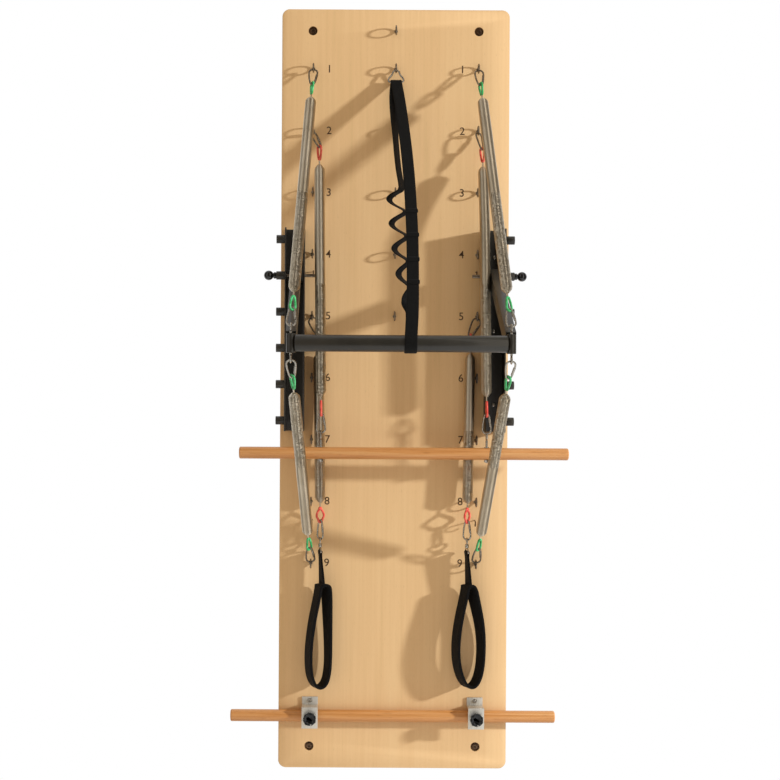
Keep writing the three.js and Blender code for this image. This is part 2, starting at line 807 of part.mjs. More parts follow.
function makeRollHook(x) {
  const ring_z = roll_bar_z + roll_eye_height;
  const ring = new THREE.TorusGeometry(eye_ring_radius, eye_wire_radius, ring_sides, ring_steps)
    .rotateY(Math.PI / 2)
    .translate(x, roll_bar_y, ring_z);
  const shank_top = ring_z - eye_ring_radius;
  const shank_bottom = roll_bar_z - dowel_radius - seat_gap - roll_nut_height;
  const shank_middle = (shank_top + shank_bottom) / 2;
  const shank = barZ(roll_shank_radius, shank_top - shank_bottom, at(x, roll_bar_y, shank_middle));
  const nut_z = shank_bottom + roll_nut_height / 2;
  const nut = barZ(roll_nut_radius, roll_nut_height, at(x, roll_bar_y, nut_z), ring_sides);
  const up = at(0, 0, 1);
  const bearing = at(x, roll_bar_y, ring_z + eye_ring_radius + hook_gap + weld_bite);
  return join(solid(ring), shank, nut, moved(hook, along(up), bearing));
}

function makeDowel(x, y, z, holes) {
  const half = dowel_length / 2;
  const profile = [new THREE.Vector2(0, -half)];
  for (let i = 0; i <= 2; i += 1) {
    const angle = -Math.PI / 2 + (Math.PI / 4) * i;
    const r = dowel_radius - dowel_end_radius + dowel_end_radius * Math.cos(angle);
    profile.push(new THREE.Vector2(r, -half + dowel_end_radius * (1 + Math.sin(angle))));
  }
  const mirrored = profile.map((point) => new THREE.Vector2(point.x, -point.y)).reverse();
  const shape = new THREE.LatheGeometry([...profile, ...mirrored], round_sides);
  return cut(solid(shape.rotateZ(Math.PI / 2).translate(x, y, z)), ...holes);
}

const roll_holes = sides.map(({ side }) =>
  barZ(
    boreRadius(roll_shank_radius, seat_gap),
    2 * (dowel_radius + overrun),
    at(side * roll_eye_x + roll_shift_x, roll_bar_y, roll_bar_z),
    hole_sides,
  ),
);
const roll_bar = makeDowel(roll_shift_x, roll_bar_y, roll_bar_z, roll_holes);
addPiece("roll_down_bar", roll_bar, beech);

for (const { side, name } of sides) {
  const eye_middle = at(side * column_x, eye_y, rowZ(1));
  const drift = roll_top_drift[side < 0 ? 0 : 1];
  const drift_share = drift / hook_reach;
  const out_share = Math.sin(roll_hook_angle);
  const plumb_share = Math.sqrt(1 - drift_share ** 2 - out_share ** 2);
  const hook_direction = at(drift_share, -out_share, -plumb_share);
  const top = bearingOn(eye_middle, eye_ring_radius, hook_direction);
  const loop_top = top.clone().addScaledVector(hook_direction, hook_reach);
  const x = side * roll_eye_x + roll_shift_x;
  const loop_bottom = at(x, roll_bar_y, roll_eye_top_z + hook_reach);
  const offset = loop_top.y - roll_bar_y;
  const reach = loop_top.z - channel_top_z + roll_bend_lap;
  const power = (reach * out_share) / (plumb_share * offset);
  const plumb_top = at(loop_top.x, roll_bar_y, loop_top.z);
  addSpring(`roll_spring_${name}`, plumb_top, loop_bottom, roll_turns, { offset, reach, power });
  addPiece(`roll_bar_hook_${name}`, makeRollHook(x), zinc);
  eyes_with_hooks.set(`eye_bolt_${name}_2`, hook_direction);
}

// Handle: a padded loop on a webbing tongue, hung from a snap hook with a swivel
const webbing_wrap_radius = bail_wire_radius + seat_gap + webbing_thickness / 2;
const swivel_ring_z = -swivel_ring_radius;
const barrel_z = swivel_ring_z - swivel_ring_radius - swivel_barrel_length / 2;
const bail_top_z = barrel_z - swivel_barrel_length / 2 + weld_bite;
const bail_bottom_z = bail_top_z - bail_height;
const tongue_top_z = bail_bottom_z - webbing_wrap_radius;
const loop_top_z = tongue_top_z - handle_tongue_length;
const loop_foot_z = loop_top_z - handle_loop_length;

function makeSwivelHook() {
  const ring = new THREE.TorusGeometry(swivel_ring_radius, eye_wire_radius, ring_sides, ring_steps)
    .rotateY(Math.PI / 2)
    .translate(0, 0, swivel_ring_z);
  const barrel = barZ(swivel_barrel_radius, swivel_barrel_length, at(0, 0, barrel_z));
  const half = bail_width / 2;
  const corners = [
    at(0, -half, bail_bottom_z),
    at(0, half, bail_bottom_z),
    at(0, half, (bail_top_z + bail_bottom_z) / 2),
    at(0, 0, bail_top_z),
    at(0, -half, (bail_top_z + bail_bottom_z) / 2),
  ];
  const path = corners.map((point) => ({ point, width: across }));
  const bail = sweepClosed(path, roundSection(bail_wire_radius, ring_sides));
  const up = at(0, 0, 1);
  const turn = new THREE.Matrix4().makeRotationZ(handle_turn_angle);
  const lower = moved(join(barrel, bail), turn, at(0, 0, 0));
  return join(solid(ring), lower, moved(hook, along(up), at(0, 0, hook_gap + weld_bite)));
}
const swivel_hook = makeSwivelHook();

function makeHandle(side) {
  const wrap = arcPoints(0, bail_bottom_z, webbing_wrap_radius, 0, 2 * Math.PI, ring_steps);
  wrap.pop();
  const wrap_path = wrap.map((point) => ({ point, width: at(0, 1, 0) }));
  const eyelet = sweepClosed(wrap_path, flatSection(handle_webbing_width, webbing_thickness));
  const tongue = block(
    2 * webbing_thickness,
    handle_webbing_width,
    handle_tongue_length + webbing_thickness,
    at(0, 0, (tongue_top_z + loop_top_z) / 2),
  );
  const loop_width = handle_loop_widths[side < 0 ? 0 : 1];
  const bottom_radius = (loop_width - handle_band_thickness) / 2;
  const top_radius = handle_band_thickness;
  const top_z = loop_top_z - top_radius;
  const bottom_z = loop_foot_z + bottom_radius + handle_band_thickness / 2;
  const slope = Math.asin((bottom_radius - top_radius) / (top_z - bottom_z));
  const outline = [
    ...arcPoints(0, top_z, top_radius, slope, Math.PI - slope, arc_steps - 2),
    ...arcPoints(0, bottom_z, bottom_radius, Math.PI - slope, 2 * Math.PI + slope, 2 * arc_steps),
  ];
  const path = outline.map((point) => ({ point, width: at(0, 1, 0) }));
  const band = sweepClosed(path, flatSection(handle_band_width, handle_band_thickness));
  const turn = new THREE.Matrix4().makeRotationZ(handle_turn_angle);
  return moved(join(eyelet, tongue, band), turn, at(0, 0, 0));
}

// The springs hang close to the board, and the wide bands hold the handles' middles off it.
const half_band = handle_band_width / 2;
const half_loop = Math.max(...handle_loop_widths) / 2;
const band_reach =
  half_band * Math.cos(handle_turn_angle) + half_loop * Math.sin(handle_turn_angle);
const swivel_y = board_face - seat_gap - band_reach;
const swivel_z = foot_bar_z + dowel_radius + handle_clearance - loop_foot_z;
for (const { side, name } of sides) {
  const lean = (-side * handle_hook_lean) / hook_reach;
  const hook_direction = at(lean, 0, -Math.sqrt(1 - lean ** 2));
  const eye_middle = at(side * column_x, eye_y, rowZ(handle_row));
  const top = bearingOn(eye_middle, eye_ring_radius, hook_direction);
  const loop_top = top.clone().addScaledVector(hook_direction, hook_reach);
  const bearing = at(loop_top.x - side * handle_spring_lean, swivel_y, swivel_z);
  const loop_bottom = bearing.clone().addScaledVector(down, -hook_reach);
  addSpring(`handle_spring_${name}`, loop_top, loop_bottom, handle_turns);
  const swivel = addPiece(`swivel_hook_${name}`, swivel_hook, zinc);
  swivel.position.copy(bearing);
  const strap = addPiece(`handle_${name}`, makeHandle(side), webbing);
  strap.position.copy(bearing);
  eyes_with_hooks.set(`eye_bolt_${name}_${handle_row + 1}`, hook_direction);
}

// Eye bolts, with the hooks that stay on the board
for (const place of eye_places) {
  const direction = eyes_with_hooks.get(place.name);
  const mesh = addPiece(place.name, direction ? eyeWithHook(direction) : eye, zinc);
  mesh.position.set(place.x, board_face, place.z);
}

// Ring that carries the safety strap, in the middle eye of the first row
const strap_ring_seat = strap_ring_top_radius - strap_ring_wire_radius - seat_gap - eye_wire_radius;
const strap_ring_top_z = rowZ(0) - eye_ring_radius - strap_ring_seat;
const strap_rail_z = strap_ring_top_z + strap_ring_top_radius - strap_ring_height;

function makeStrapRing() {
  const half = strap_ring_width / 2 - strap_ring_corner_radius;
  const corner_z = strap_rail_z + strap_ring_corner_radius;
  const outline = [
    ...arcPoints(0, strap_ring_top_z, strap_ring_top_radius, 0, Math.PI, arc_steps),
    ...arcPoints(-half, corner_z, strap_ring_corner_radius, Math.PI, (3 * Math.PI) / 2, 2),
    ...arcPoints(half, corner_z, strap_ring_corner_radius, (3 * Math.PI) / 2, 2 * Math.PI, 2),
  ];
  const path = outline.map((point) => ({ point, width: at(0, 1, 0) }));
  const ring = sweepClosed(path, roundSection(strap_ring_wire_radius, ring_sides));
  return moved(ring, new THREE.Matrix4(), at(0, eye_y, 0));
}
addPiece("strap_ring", makeStrapRing(), zinc);

// Safety strap: one closed loop of webbing over the ring's rail, down in front and under the
// crossbar, and back up behind, where its sewn pockets bulge out to the left.
function makeStrap() {
  const wrap_steps = 2 * arc_steps;
  const flatten = Math.cos(Math.PI / wrap_steps / 2);
  const ring_wrap = (strap_ring_wire_radius + seat_gap) / flatten + strap_thickness / 2;
  const bar_wrap = (crossbar_radius + seat_gap) / flatten + strap_thickness / 2;
  const rail = at(0, eye_y, strap_rail_z);
  const bar = at(strap_bar_x, bar_y, bar_z);
  const fall = toward(rail, bar);
  const front = at(0, fall.z, -fall.y).normalize();
  const level = (share) => strap_bar_x * share;
  const path = [];
  const flat = across.clone();
  const turnRound = (middle, radius, from, to, share) => {
    for (let i = 0; i <= wrap_steps; i += 1) {
      const angle = from + ((to - from) * i) / wrap_steps;
      const point = at(level(share), middle.y, middle.z)
        .addScaledVector(front, radius * Math.cos(angle))
        .addScaledVector(at(0, fall.y, fall.z), radius * Math.sin(angle));
      path.push({ point, width: flat });
    }
  };
  turnRound(rail, ring_wrap, -Math.PI, 0, 0);
  turnRound(bar, bar_wrap, 0, Math.PI, 1);
  const back_start = path[path.length - 1].point.clone();
  const back_end = path[0].point.clone();
  const pocket_steps = 6;
  const count = strap_bulge_sizes.length;
  const pocket_share = (strap_bulge_end_share - strap_bulge_start_share) / count;
  for (let pocket = count - 1; pocket >= 0; pocket -= 1) {
    for (let i = 0; i < pocket_steps; i += 1) {
      const local_share = i / pocket_steps;
      const from_top_share = strap_bulge_start_share + (pocket + 1 - local_share) * pocket_share;
      const point = back_end.clone().lerp(back_start, from_top_share);
      const bulge = strap_bulge_sizes[pocket] * Math.sin(Math.PI * local_share) ** 2;
      point.x -= bulge + strap_thickness;
      const facing = pocket === count - 1 ? Math.min(1, 2 * local_share) : 1;
      const settle = pocket === 0 ? Math.min(1, 2 * (1 - local_share)) : 1;
      const angle = (Math.PI / 2) * Math.min(facing, settle);
      path.push({ point, width: at(Math.cos(angle), Math.sin(angle), 0) });
    }
  }
  return sweepClosed(path, flatSection(strap_width, strap_thickness));
}
addPiece("safety_strap", makeStrap(), webbing);

// Foot bar, pressed against the board by two clamps with star knobs
addPiece("foot_bar", makeDowel(0, foot_bar_y, foot_bar_z, []), beech);

const stud_bore_radius = boreRadius(stud_radius, running_gap);

// A strip folded twice: a tab on the board, a shelf over the bar and a plate in front of it
function makeClamp(side) {
  const top = foot_bar_z + clamp_drop / 2;
  const bottom = foot_bar_z - clamp_drop / 2;
  const back = board_face - seat_gap;
  const t = clamp_thickness;
  const bend = clamp_bend_radius;
  const outer = bend + t;
  const outline = new THREE.Shape();
  outline.moveTo(back, top + clamp_tab_height);
  outline.lineTo(back - t, top + clamp_tab_height);
  outline.absarc(back - outer, top + bend, bend, 0, -Math.PI / 2, true);
  outline.absarc(clamp_plate_y + bend, top - outer, outer, Math.PI / 2, Math.PI, false);
  outline.lineTo(clamp_plate_y - t, bottom);
  outline.lineTo(clamp_plate_y, bottom);
  outline.absarc(clamp_plate_y + bend, top - outer, bend, Math.PI, Math.PI / 2, true);
  outline.absarc(back - outer, top + bend, outer, -Math.PI / 2, 0, false);
  const x = side * column_x;
  const shape = sideways(outline, {
    depth: clamp_width,
    curveSegments: arc_steps,
    bevelEnabled: false,
  });
  const stud_hole_length = clamp_thickness + 2 * overrun;
  const plate_middle = clamp_plate_y - clamp_thickness / 2;
  const tab_z = top + clamp_tab_height / 2;
  return cut(
    solid(shape.translate(x - clamp_width / 2, 0, 0)),
    barY(stud_bore_radius, stud_hole_length, at(x, plate_middle, foot_bar_z), hole_sides),
    barY(clamp_screw_hole_radius, stud_hole_length, at(x, back - t / 2, tab_z), hole_sides),
  );
}

function makeKnob() {
  const point_count = knob_lobe_count * knob_steps_per_lobe;
  const points = Array.from({ length: point_count }, (_, i) => {
    const angle = (2 * Math.PI * i) / point_count;
    const r = knob_radius - knob_lobe * (1 - Math.cos(knob_lobe_count * angle));
    return new THREE.Vector2(r * Math.cos(angle), r * Math.sin(angle));
  });
  const head = forwards(new THREE.Shape(points), {
    depth: knob_thickness - 2 * knob_bevel,
    bevelEnabled: true,
    bevelThickness: knob_bevel,
    bevelSize: knob_bevel,
    bevelOffset: -knob_bevel,
    bevelSegments: 1,
  });
  const plate_front = clamp_plate_y - clamp_thickness;
  const hub_back = plate_front - seat_gap;
  const head_back = hub_back - knob_hub_length;
  const stud_back = foot_bar_y - dowel_radius - seat_gap;
  const stud_length = stud_back - head_back + weld_bite;
  const hub_length = knob_hub_length + weld_bite;
  return join(
    solid(head.translate(0, head_back - knob_bevel, 0)),
    barY(knob_hub_radius, hub_length, at(0, hub_back - hub_length / 2, 0)),
    barY(stud_radius, stud_length, at(0, stud_back - stud_length / 2, 0)),
  );
}
const knob = makeKnob();

for (const { side, name } of sides) {
  addPiece(`foot_clamp_${name}`, makeClamp(side), brushed_plate);
  const mesh = addPiece(`clamp_knob_${name}`, knob, black_plastic);
  mesh.position.set(side * column_x, 0, foot_bar_z);
}

export default tower;
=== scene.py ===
import math

import bmesh
import bpy
from mathutils import Matrix, Vector


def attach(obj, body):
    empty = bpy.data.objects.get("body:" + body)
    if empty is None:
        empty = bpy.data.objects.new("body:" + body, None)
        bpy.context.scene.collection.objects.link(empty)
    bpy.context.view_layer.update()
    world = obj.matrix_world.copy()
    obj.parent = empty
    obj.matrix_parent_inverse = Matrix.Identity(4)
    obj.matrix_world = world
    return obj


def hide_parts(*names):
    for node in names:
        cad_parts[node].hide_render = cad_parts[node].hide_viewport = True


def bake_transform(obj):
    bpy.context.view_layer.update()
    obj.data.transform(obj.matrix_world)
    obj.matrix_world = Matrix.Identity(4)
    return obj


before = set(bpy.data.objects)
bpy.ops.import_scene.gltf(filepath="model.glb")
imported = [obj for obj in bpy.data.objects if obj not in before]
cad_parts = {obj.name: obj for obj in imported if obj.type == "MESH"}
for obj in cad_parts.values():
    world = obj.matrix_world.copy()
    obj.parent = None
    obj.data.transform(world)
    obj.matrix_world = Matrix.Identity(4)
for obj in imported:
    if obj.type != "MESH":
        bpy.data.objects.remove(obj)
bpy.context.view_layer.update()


# Board. A 28 mm panel of birch plywood, 600 by 2000 mm, with rounded corners and a lacquered
# face veneer whose grain runs upright. Its edges show the plies, and four counterbores in the
# corners take the bolts that hold it to the wall.
board_size = (0.600, 0.028, 2.000)
board_corner_radius = 0.020
board_corner_segments = 10
board_edge_round = 0.0015
board_face = -board_size[1]
wall_holes = [(x, z) for x in (-0.219, 0.219) for z in (-0.943, 0.943)]
counterbore_radius = 0.012
counterbore_depth = 0.009
wall_hole_radius = 0.0055
cut_overrun = 0.005
ply_thickness = 0.0021
grain_width = 0.0022
grains_per_noise_cell = 4


def activate(*pieces):
    """Selects these pieces alone and makes the last one active."""
    bpy.ops.object.select_all(action="DESELECT")
    for piece in pieces:
        piece.select_set(True)
    bpy.context.view_layer.objects.active = pieces[-1]


def placed():
    """The piece in hand, with its transforms applied."""
    bpy.ops.object.transform_apply(location=True, rotation=True, scale=True)
    return bpy.context.object


def box(middle, size):
    bpy.ops.mesh.primitive_cube_add(size=1, location=middle, scale=size)
    return placed()


def cylinder(radius, length, middle, axis, sides=32):
    """A round bar centred on a point, along X, Y or Z."""
    turns = {"X": (0, math.pi / 2, 0), "Y": (math.pi / 2, 0, 0), "Z": (0, 0, 0)}
    bpy.ops.mesh.primitive_cylinder_add(
        vertices=sides, radius=radius, depth=length, location=middle, rotation=turns[axis]
    )
    return placed()


def modify(piece, kind, **settings):
    """Puts a modifier with its settings on a piece and applies it."""
    modifier = piece.modifiers.new(kind.lower(), kind)
    for key, value in settings.items():
        setattr(modifier, key, value)
    activate(piece)
    bpy.ops.object.modifier_apply(modifier=modifier.name)
    return piece


def combine(piece, tool, operation="DIFFERENCE"):
    """Cuts a piece by a tool, or adds the tool to it. The tool is used up."""
    modify(piece, "BOOLEAN", object=tool, operation=operation, solver="EXACT")
    bpy.data.objects.remove(tool)


def smooth(piece, angle=30):
    """Shades a piece smooth but for its sharp edges."""
    activate(piece)
    bpy.ops.object.shade_smooth_by_angle(angle=math.radians(angle))
    return piece


def round_edges(piece, width, segments=2, angle=30):
    """Rounds the sharp edges of a piece and shades it smooth between them."""
    limit = {"limit_method": "ANGLE", "angle_limit": math.radians(angle)}
    return smooth(modify(piece, "BEVEL", width=width, segments=segments, **limit), angle)


def select_parts(piece, kind, wanted):
    """In edit mode, selects the edges or faces that pass a test."""
    bpy.ops.mesh.select_mode(type=kind)
    bpy.ops.mesh.select_all(action="DESELECT")
    shape = bmesh.from_edit_mesh(piece.data)
    for part in shape.edges if kind == "EDGE" else shape.faces:
        part.select_set(wanted(part))
    bmesh.update_edit_mesh(piece.data)


def settle(piece, name, material, body, slot, *nodes):
    """Fixes a finished piece in place, names it, gives it its material and its CAD body."""
    activate(piece)
    placed()
    piece.name = piece.data.name = name
    piece.data.materials.clear()
    piece.data.materials.append(material)
    if body:
        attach(piece, body)
    if nodes:
        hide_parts(*nodes)


def linear(code):
    """An sRGB hex value as the linear colour that a shader takes."""
    parts = [int(code[i : i + 2], 16) / 255 for i in (1, 3, 5)]
    return [p / 12.92 if p <= 0.04045 else ((p + 0.055) / 1.055) ** 2.4 for p in parts] + [1]


def fill_socket(tree, socket, value):
    """Links a socket to an output, or sets its value."""
    if isinstance(value, bpy.types.NodeSocket):
        tree.links.new(value, socket)
    else:
        socket.default_value = value


def add(tree, kind, inputs=None, **settings):
    """Adds a node with its settings, and sets or links its inputs."""
    made = tree.nodes.new(kind)
    for key, value in settings.items():
        setattr(made, key, value)
    for key, value in (inputs or {}).items():
        fill_socket(tree, made.inputs[key], value)
    return made


def surface(material, **sockets):
    """Sets or links inputs of a material's Principled shader."""
    tree = material.node_tree
    for key, value in sockets.items():
        socket = tree.nodes["Principled BSDF"].inputs[key.replace("_", " ")]
        fill_socket(tree, socket, value)


def new_material(name, **sockets):
    """A material with a Principled shader, and its node tree."""
    material = bpy.data.materials.new(name)
    material.use_nodes = True
    surface(material, **sockets)
    return material, material.node_tree


def noise(tree, scale, stretch=(1, 1, 1), **inputs):
    """A noise in object coordinates, stretched along each axis."""
    place = add(tree, "ShaderNodeTexCoord").outputs["Object"]
    mapping = add(tree, "ShaderNodeMapping", {"Vector": place, "Scale": stretch})
    inputs.update(Vector=mapping.outputs["Vector"], Scale=scale)
    return add(tree, "ShaderNodeTexNoise", inputs).outputs["Fac"]


def ramp(tree, factor, *stops):
    """A colour ramp through (place, hex) stops."""
    made = add(tree, "ShaderNodeValToRGB", {"Fac": factor})
    elements = made.color_ramp.elements
    elements[0].position, elements[0].color = stops[0][0], linear(stops[0][1])
    elements[1].position, elements[1].color = stops[-1][0], linear(stops[-1][1])
    for place, code in stops[1:-1]:
        elements.new(place).color = linear(code)
    return made.outputs["Color"]


def remap(tree, value, start, stop, low, high):
    """A value's range from start to stop, laid over one from low to high."""
    limits = {"From Min": start, "From Max": stop, "To Min": low, "To Max": high}
    return add(tree, "ShaderNodeMapRange", {"Value": value, **limits}).outputs["Result"]


def calculate(tree, operation, *values):
    return add(tree, "ShaderNodeMath", dict(enumerate(values)), operation=operation).outputs[0]


def mix(tree, factor, first, second, kind="RGBA"):
    inputs = {"Factor": factor, "A": first, "B": second}
    return add(tree, "ShaderNodeMix", inputs, data_type=kind).outputs["Result"]


def part_of(tree, vector, axis):
    return add(tree, "ShaderNodeSeparateXYZ", {"Vector": vector}).outputs[axis]


def bump(tree, height, strength, distance):
    inputs = {"Strength": strength, "Distance": distance, "Height": height}
    return add(tree, "ShaderNodeBump", inputs).outputs["Normal"]


# Lacquered birch plywood: pale tan, with fine upright streaks about 2 mm apart, slow wide
# bands where the veneer was peeled, short dark pores, and a satin coat.
plywood, tree = new_material(
    "lacquered_birch_plywood", Roughness=0.5, Coat_Weight=0.05, Coat_Roughness=0.3
)
streak_scale = 1 / (grain_width * grains_per_noise_cell)
streaks = noise(tree, streak_scale, (1, 1, 0.02), Detail=6, Roughness=0.6, Distortion=0.3)
bands = noise(tree, 7, (1, 1, 0.12), Detail=3, Distortion=1.2)
pores = noise(tree, 900, (1, 1, 0.08), Detail=2)
veneer = ramp(
    tree,
    mix(tree, 0.5, streaks, bands, "FLOAT"),
    (0.3, "#d8ad75"),
    (0.46, "#dfb27b"),
    (0.56, "#e2b67f"),
    (0.72, "#e5bb84"),
)
pored = mix(tree, remap(tree, pores, 0.62, 0.75, 0, 0.22), veneer, linear("#a57c50"))
depth = part_of(tree, add(tree, "ShaderNodeTexCoord").outputs["Object"], "Y")
plies = ramp(
    tree,
    calculate(tree, "FRACT", calculate(tree, "MULTIPLY", depth, 1 / ply_thickness)),
    (0.0, "#8a6238"),
    (0.1, "#c79b69"),
    (0.5, "#d8b383"),
    (0.56, "#b07f4c"),
    (0.95, "#bd8e5b"),
    (1.0, "#8a6238"),
)
facing = part_of(tree, add(tree, "ShaderNodeNewGeometry").outputs["Normal"], "Y")
edge_share = remap(tree, calculate(tree, "ABSOLUTE", facing), 0.5, 0.8, 1, 0)
surface(
    plywood,
    Base_Color=mix(tree, edge_share, pored, plies),
    Normal=bump(tree, streaks, 0.06, 0.0004),
)


def crosses_board(edge):
    start, end = edge.verts
    return abs(start.co.y - end.co.y) > board_size[1] / 2


board = box((0, board_face / 2, 0), board_size)
bpy.ops.object.mode_set(mode="EDIT")
select_parts(board, "EDGE", crosses_board)
bpy.ops.mesh.bevel(offset=board_corner_radius, segments=board_corner_segments, affect="EDGES")
bpy.ops.object.mode_set(mode="OBJECT")
round_edges(board, board_edge_round)
for x, z in wall_holes:
    bore_length = counterbore_depth + cut_overrun
    bore_y = board_face + counterbore_depth - bore_length / 2
    combine(board, cylinder(counterbore_radius, bore_length, (x, bore_y, z), "Y", 40))
    through = board_size[1] + 2 * cut_overrun
    combine(board, cylinder(wall_hole_radius, through, (x, board_face / 2, z), "Y"))
settle(smooth(board), "plywood_board", plywood, "tower", "plywood", "board")


# Wall bolts. Four steel coach bolts with washers, sunk in the counterbores, each with a hexagon
# socket that the shadow of the counterbore half hides.
seat_gap = 0.0003
bolt_washer_radius = 0.0112
bolt_washer_thickness = 0.0016
bolt_washer_round = 0.0003
bolt_head_radius = 0.0072
bolt_head_height = 0.0052
bolt_head_round = 0.0006
bolt_socket_radius = 0.0036
bolt_socket_depth = 0.003
bolt_seat = board_face + counterbore_depth - seat_gap


def mottled(name, scale, *stops, stretch=(1, 1, 1), detail=2, relief=None, **sockets):
    """A material coloured through a noise, which can raise it by a strength and a distance."""
    material, tree = new_material(name, **sockets)
    figure = noise(tree, scale, stretch, Detail=detail)
    surface(material, Base_Color=ramp(tree, figure, *stops))
    if relief:
        surface(material, Normal=bump(tree, figure, *relief))
    return material


# Bronzed steel: brown-black oxide with a dull sheen, worn lighter in fine mottles.
bronzed = mottled(
    "bronzed_steel", 400, (0.35, "#4a382b"), (0.7, "#8c715a"), detail=4, Metallic=1, Roughness=0.42
)


def joined(*pieces):
    """Makes one piece of several."""
    activate(*pieces)
    if len(pieces) > 1:
        bpy.ops.object.join()
    return bpy.context.object


def socket_bolt(x, z):
    """A washer and a socket head, seen from the front."""
    front = bolt_seat - bolt_washer_thickness
    washer_middle = (x, bolt_seat - bolt_washer_thickness / 2, z)
    washer = cylinder(bolt_washer_radius, bolt_washer_thickness, washer_middle, "Y")
    round_edges(washer, bolt_washer_round)
    head = cylinder(bolt_head_radius, bolt_head_height, (x, front - bolt_head_height / 2, z), "Y")
    round_edges(head, bolt_head_round, 3)
    socket_middle = (x, front - bolt_head_height, z)
    combine(head, cylinder(bolt_socket_radius, 2 * bolt_socket_depth, socket_middle, "Y", 6))
    return joined(washer, head)


bolts = [socket_bolt(x, z) for x, z in wall_holes]
settle(joined(*bolts), "wall_bolts", bronzed, "tower", "zinc")


# Row numbers. The figures 1 to 9 beside each side column of eye bolts, branded into the veneer
# in a thin dark brown line, about 20 mm tall.
row_count = 9
row_one_z = 0.842
row_pitch = 0.16275
number_height = 0.021
number_height_share = 0.73
number_columns = (-0.175, 0.176)
number_thickness = 0.00012
number_weight = 0.0001

# Branded wood: scorched dark brown, matt, a little uneven.
scorched = mottled("scorched_wood", 700, (0.3, "#3a2614"), (0.75, "#5e432a"), detail=3, Roughness=0.8)


def row_z(row):
    return row_one_z - row * row_pitch


numbers = []
for row in range(row_count):
    for x in number_columns:
        place = (x, board_face - number_thickness, row_z(row))
        bpy.ops.object.text_add(location=place, rotation=(math.pi / 2, 0, 0))
        text = bpy.context.object.data
        text.body = str(row + 1)
        text.align_x = text.align_y = "CENTER"
        text.size = number_height / number_height_share
        text.extrude = number_thickness
        text.offset = number_weight
        bpy.ops.object.convert(target="MESH")
        numbers.append(placed())
settle(joined(*numbers), "row_numbers", scorched, "tower", "plywood")


# Eye bolts. Twenty-four zinc-plated eye bolts with a dull finish, each with a small collar, screwed
# into the board edge-on, so that a snap hook lies flat to the board. Their plating is painted darker
# and browner than the zinc elsewhere, as painted shade.
eye_ring_radius = 0.011
eye_wire_radius = 0.002
eye_standoff = 0.0145
eye_shank_radius = 0.0026
eye_flange_radius = 0.0045
eye_flange_thickness = 0.0015
eye_flange_round = 0.0004
eye_y = board_face - eye_standoff
column_x = 0.217
middle_row_count = 5
top_eye_z = 0.942
ring_steps = 40
ring_sides = 12

# Zinc with painted shade: grey plating painted darker and brownish, as painted shade, on what
# stays on the board.
shaded_zinc = mottled(
    "zinc_plating_painted_shade", 180, (0.3, "#6f6353"), (0.7, "#a3988a"), detail=4, Metallic=1, Roughness=0.36
)


def ring(radius, wire_radius, middle):
    """A ring of wire round a point, whose hole looks along X."""
    bpy.ops.mesh.primitive_torus_add(
        major_radius=radius,
        minor_radius=wire_radius,
        major_segments=ring_steps,
        minor_segments=ring_sides,
        location=middle,
        rotation=(0, math.pi / 2, 0),
    )
    bpy.ops.object.shade_smooth()
    return placed()


def duplicate(piece, matrix):
    """A copy of a piece with its own mesh, moved by a matrix."""
    copy = piece.copy()
    copy.data = piece.data.copy()
    copy.data.transform(matrix)
    bpy.context.scene.collection.objects.link(copy)
    return copy


eye_loop = ring(eye_ring_radius, eye_wire_radius, (0, -eye_standoff, 0))
stem_length = eye_standoff - eye_ring_radius + eye_wire_radius / 2
eye_stem = smooth(cylinder(eye_shank_radius, stem_length, (0, -stem_length / 2, 0), "Y", 20))
flange_middle = (0, -eye_flange_thickness / 2 - seat_gap, 0)
eye_flange = cylinder(eye_flange_radius, eye_flange_thickness, flange_middle, "Y", 28)
eye = joined(eye_loop, eye_stem, round_edges(eye_flange, eye_flange_round))
eye_places = {"top": (0, top_eye_z)}
for row in range(row_count):
    eye_places[f"left_{row + 1}"] = (-column_x, row_z(row))
    eye_places[f"right_{row + 1}"] = (column_x, row_z(row))
for row in range(middle_row_count):
    eye_places[f"middle_{row + 1}"] = (0, row_z(row))
for name, (x, z) in eye_places.items():
    bolt = duplicate(eye, Matrix.Translation((x, board_face, z)))
    settle(bolt, f"plated_eye_bolt_{name}", shaded_zinc, "tower", "zinc", f"eye_bolt_{name}")
bpy.data.objects.remove(eye)


# Snap hooks. Sixteen pear-shaped hooks bent from 4.5 mm zinc-plated wire, each with a sprung
# gate down one side. The wide end takes the eye and the narrow end takes the spring.
hook_wire_radius = 0.00225
hook_wide_radius = 0.011
hook_narrow_radius = 0.0061
hook_length = 0.050
hook_gap = 0.0006
gate_radius = 0.0031
gate_length = 0.022
gate_round = 0.0008
end_loop_wire_radius = 0.003
wire_steps = 8
wire_sides = 3
hook_seat = hook_wide_radius - hook_wire_radius - hook_gap - eye_wire_radius
hook_reach = (
    hook_seat - hook_wide_radius + hook_length - hook_wire_radius - hook_gap
    - end_loop_wire_radius
)

# Zinc-plated steel: bright and faintly warm, with a fine grainy plating that blurs it.
zinc, tree = new_material("zinc_plated_steel", Metallic=1)
plating = noise(tree, 260, Detail=5)
plating_colour = ramp(tree, plating, (0.3, "#9c958a"), (0.7, "#c8c1b6"))
surface(zinc, Base_Color=plating_colour, Roughness=remap(tree, plating, 0, 1, 0.16, 0.34))


def link_new(name, data):
    """A new object in the scene."""
    made = bpy.data.objects.new(name, data)
    bpy.context.scene.collection.objects.link(made)
    return made


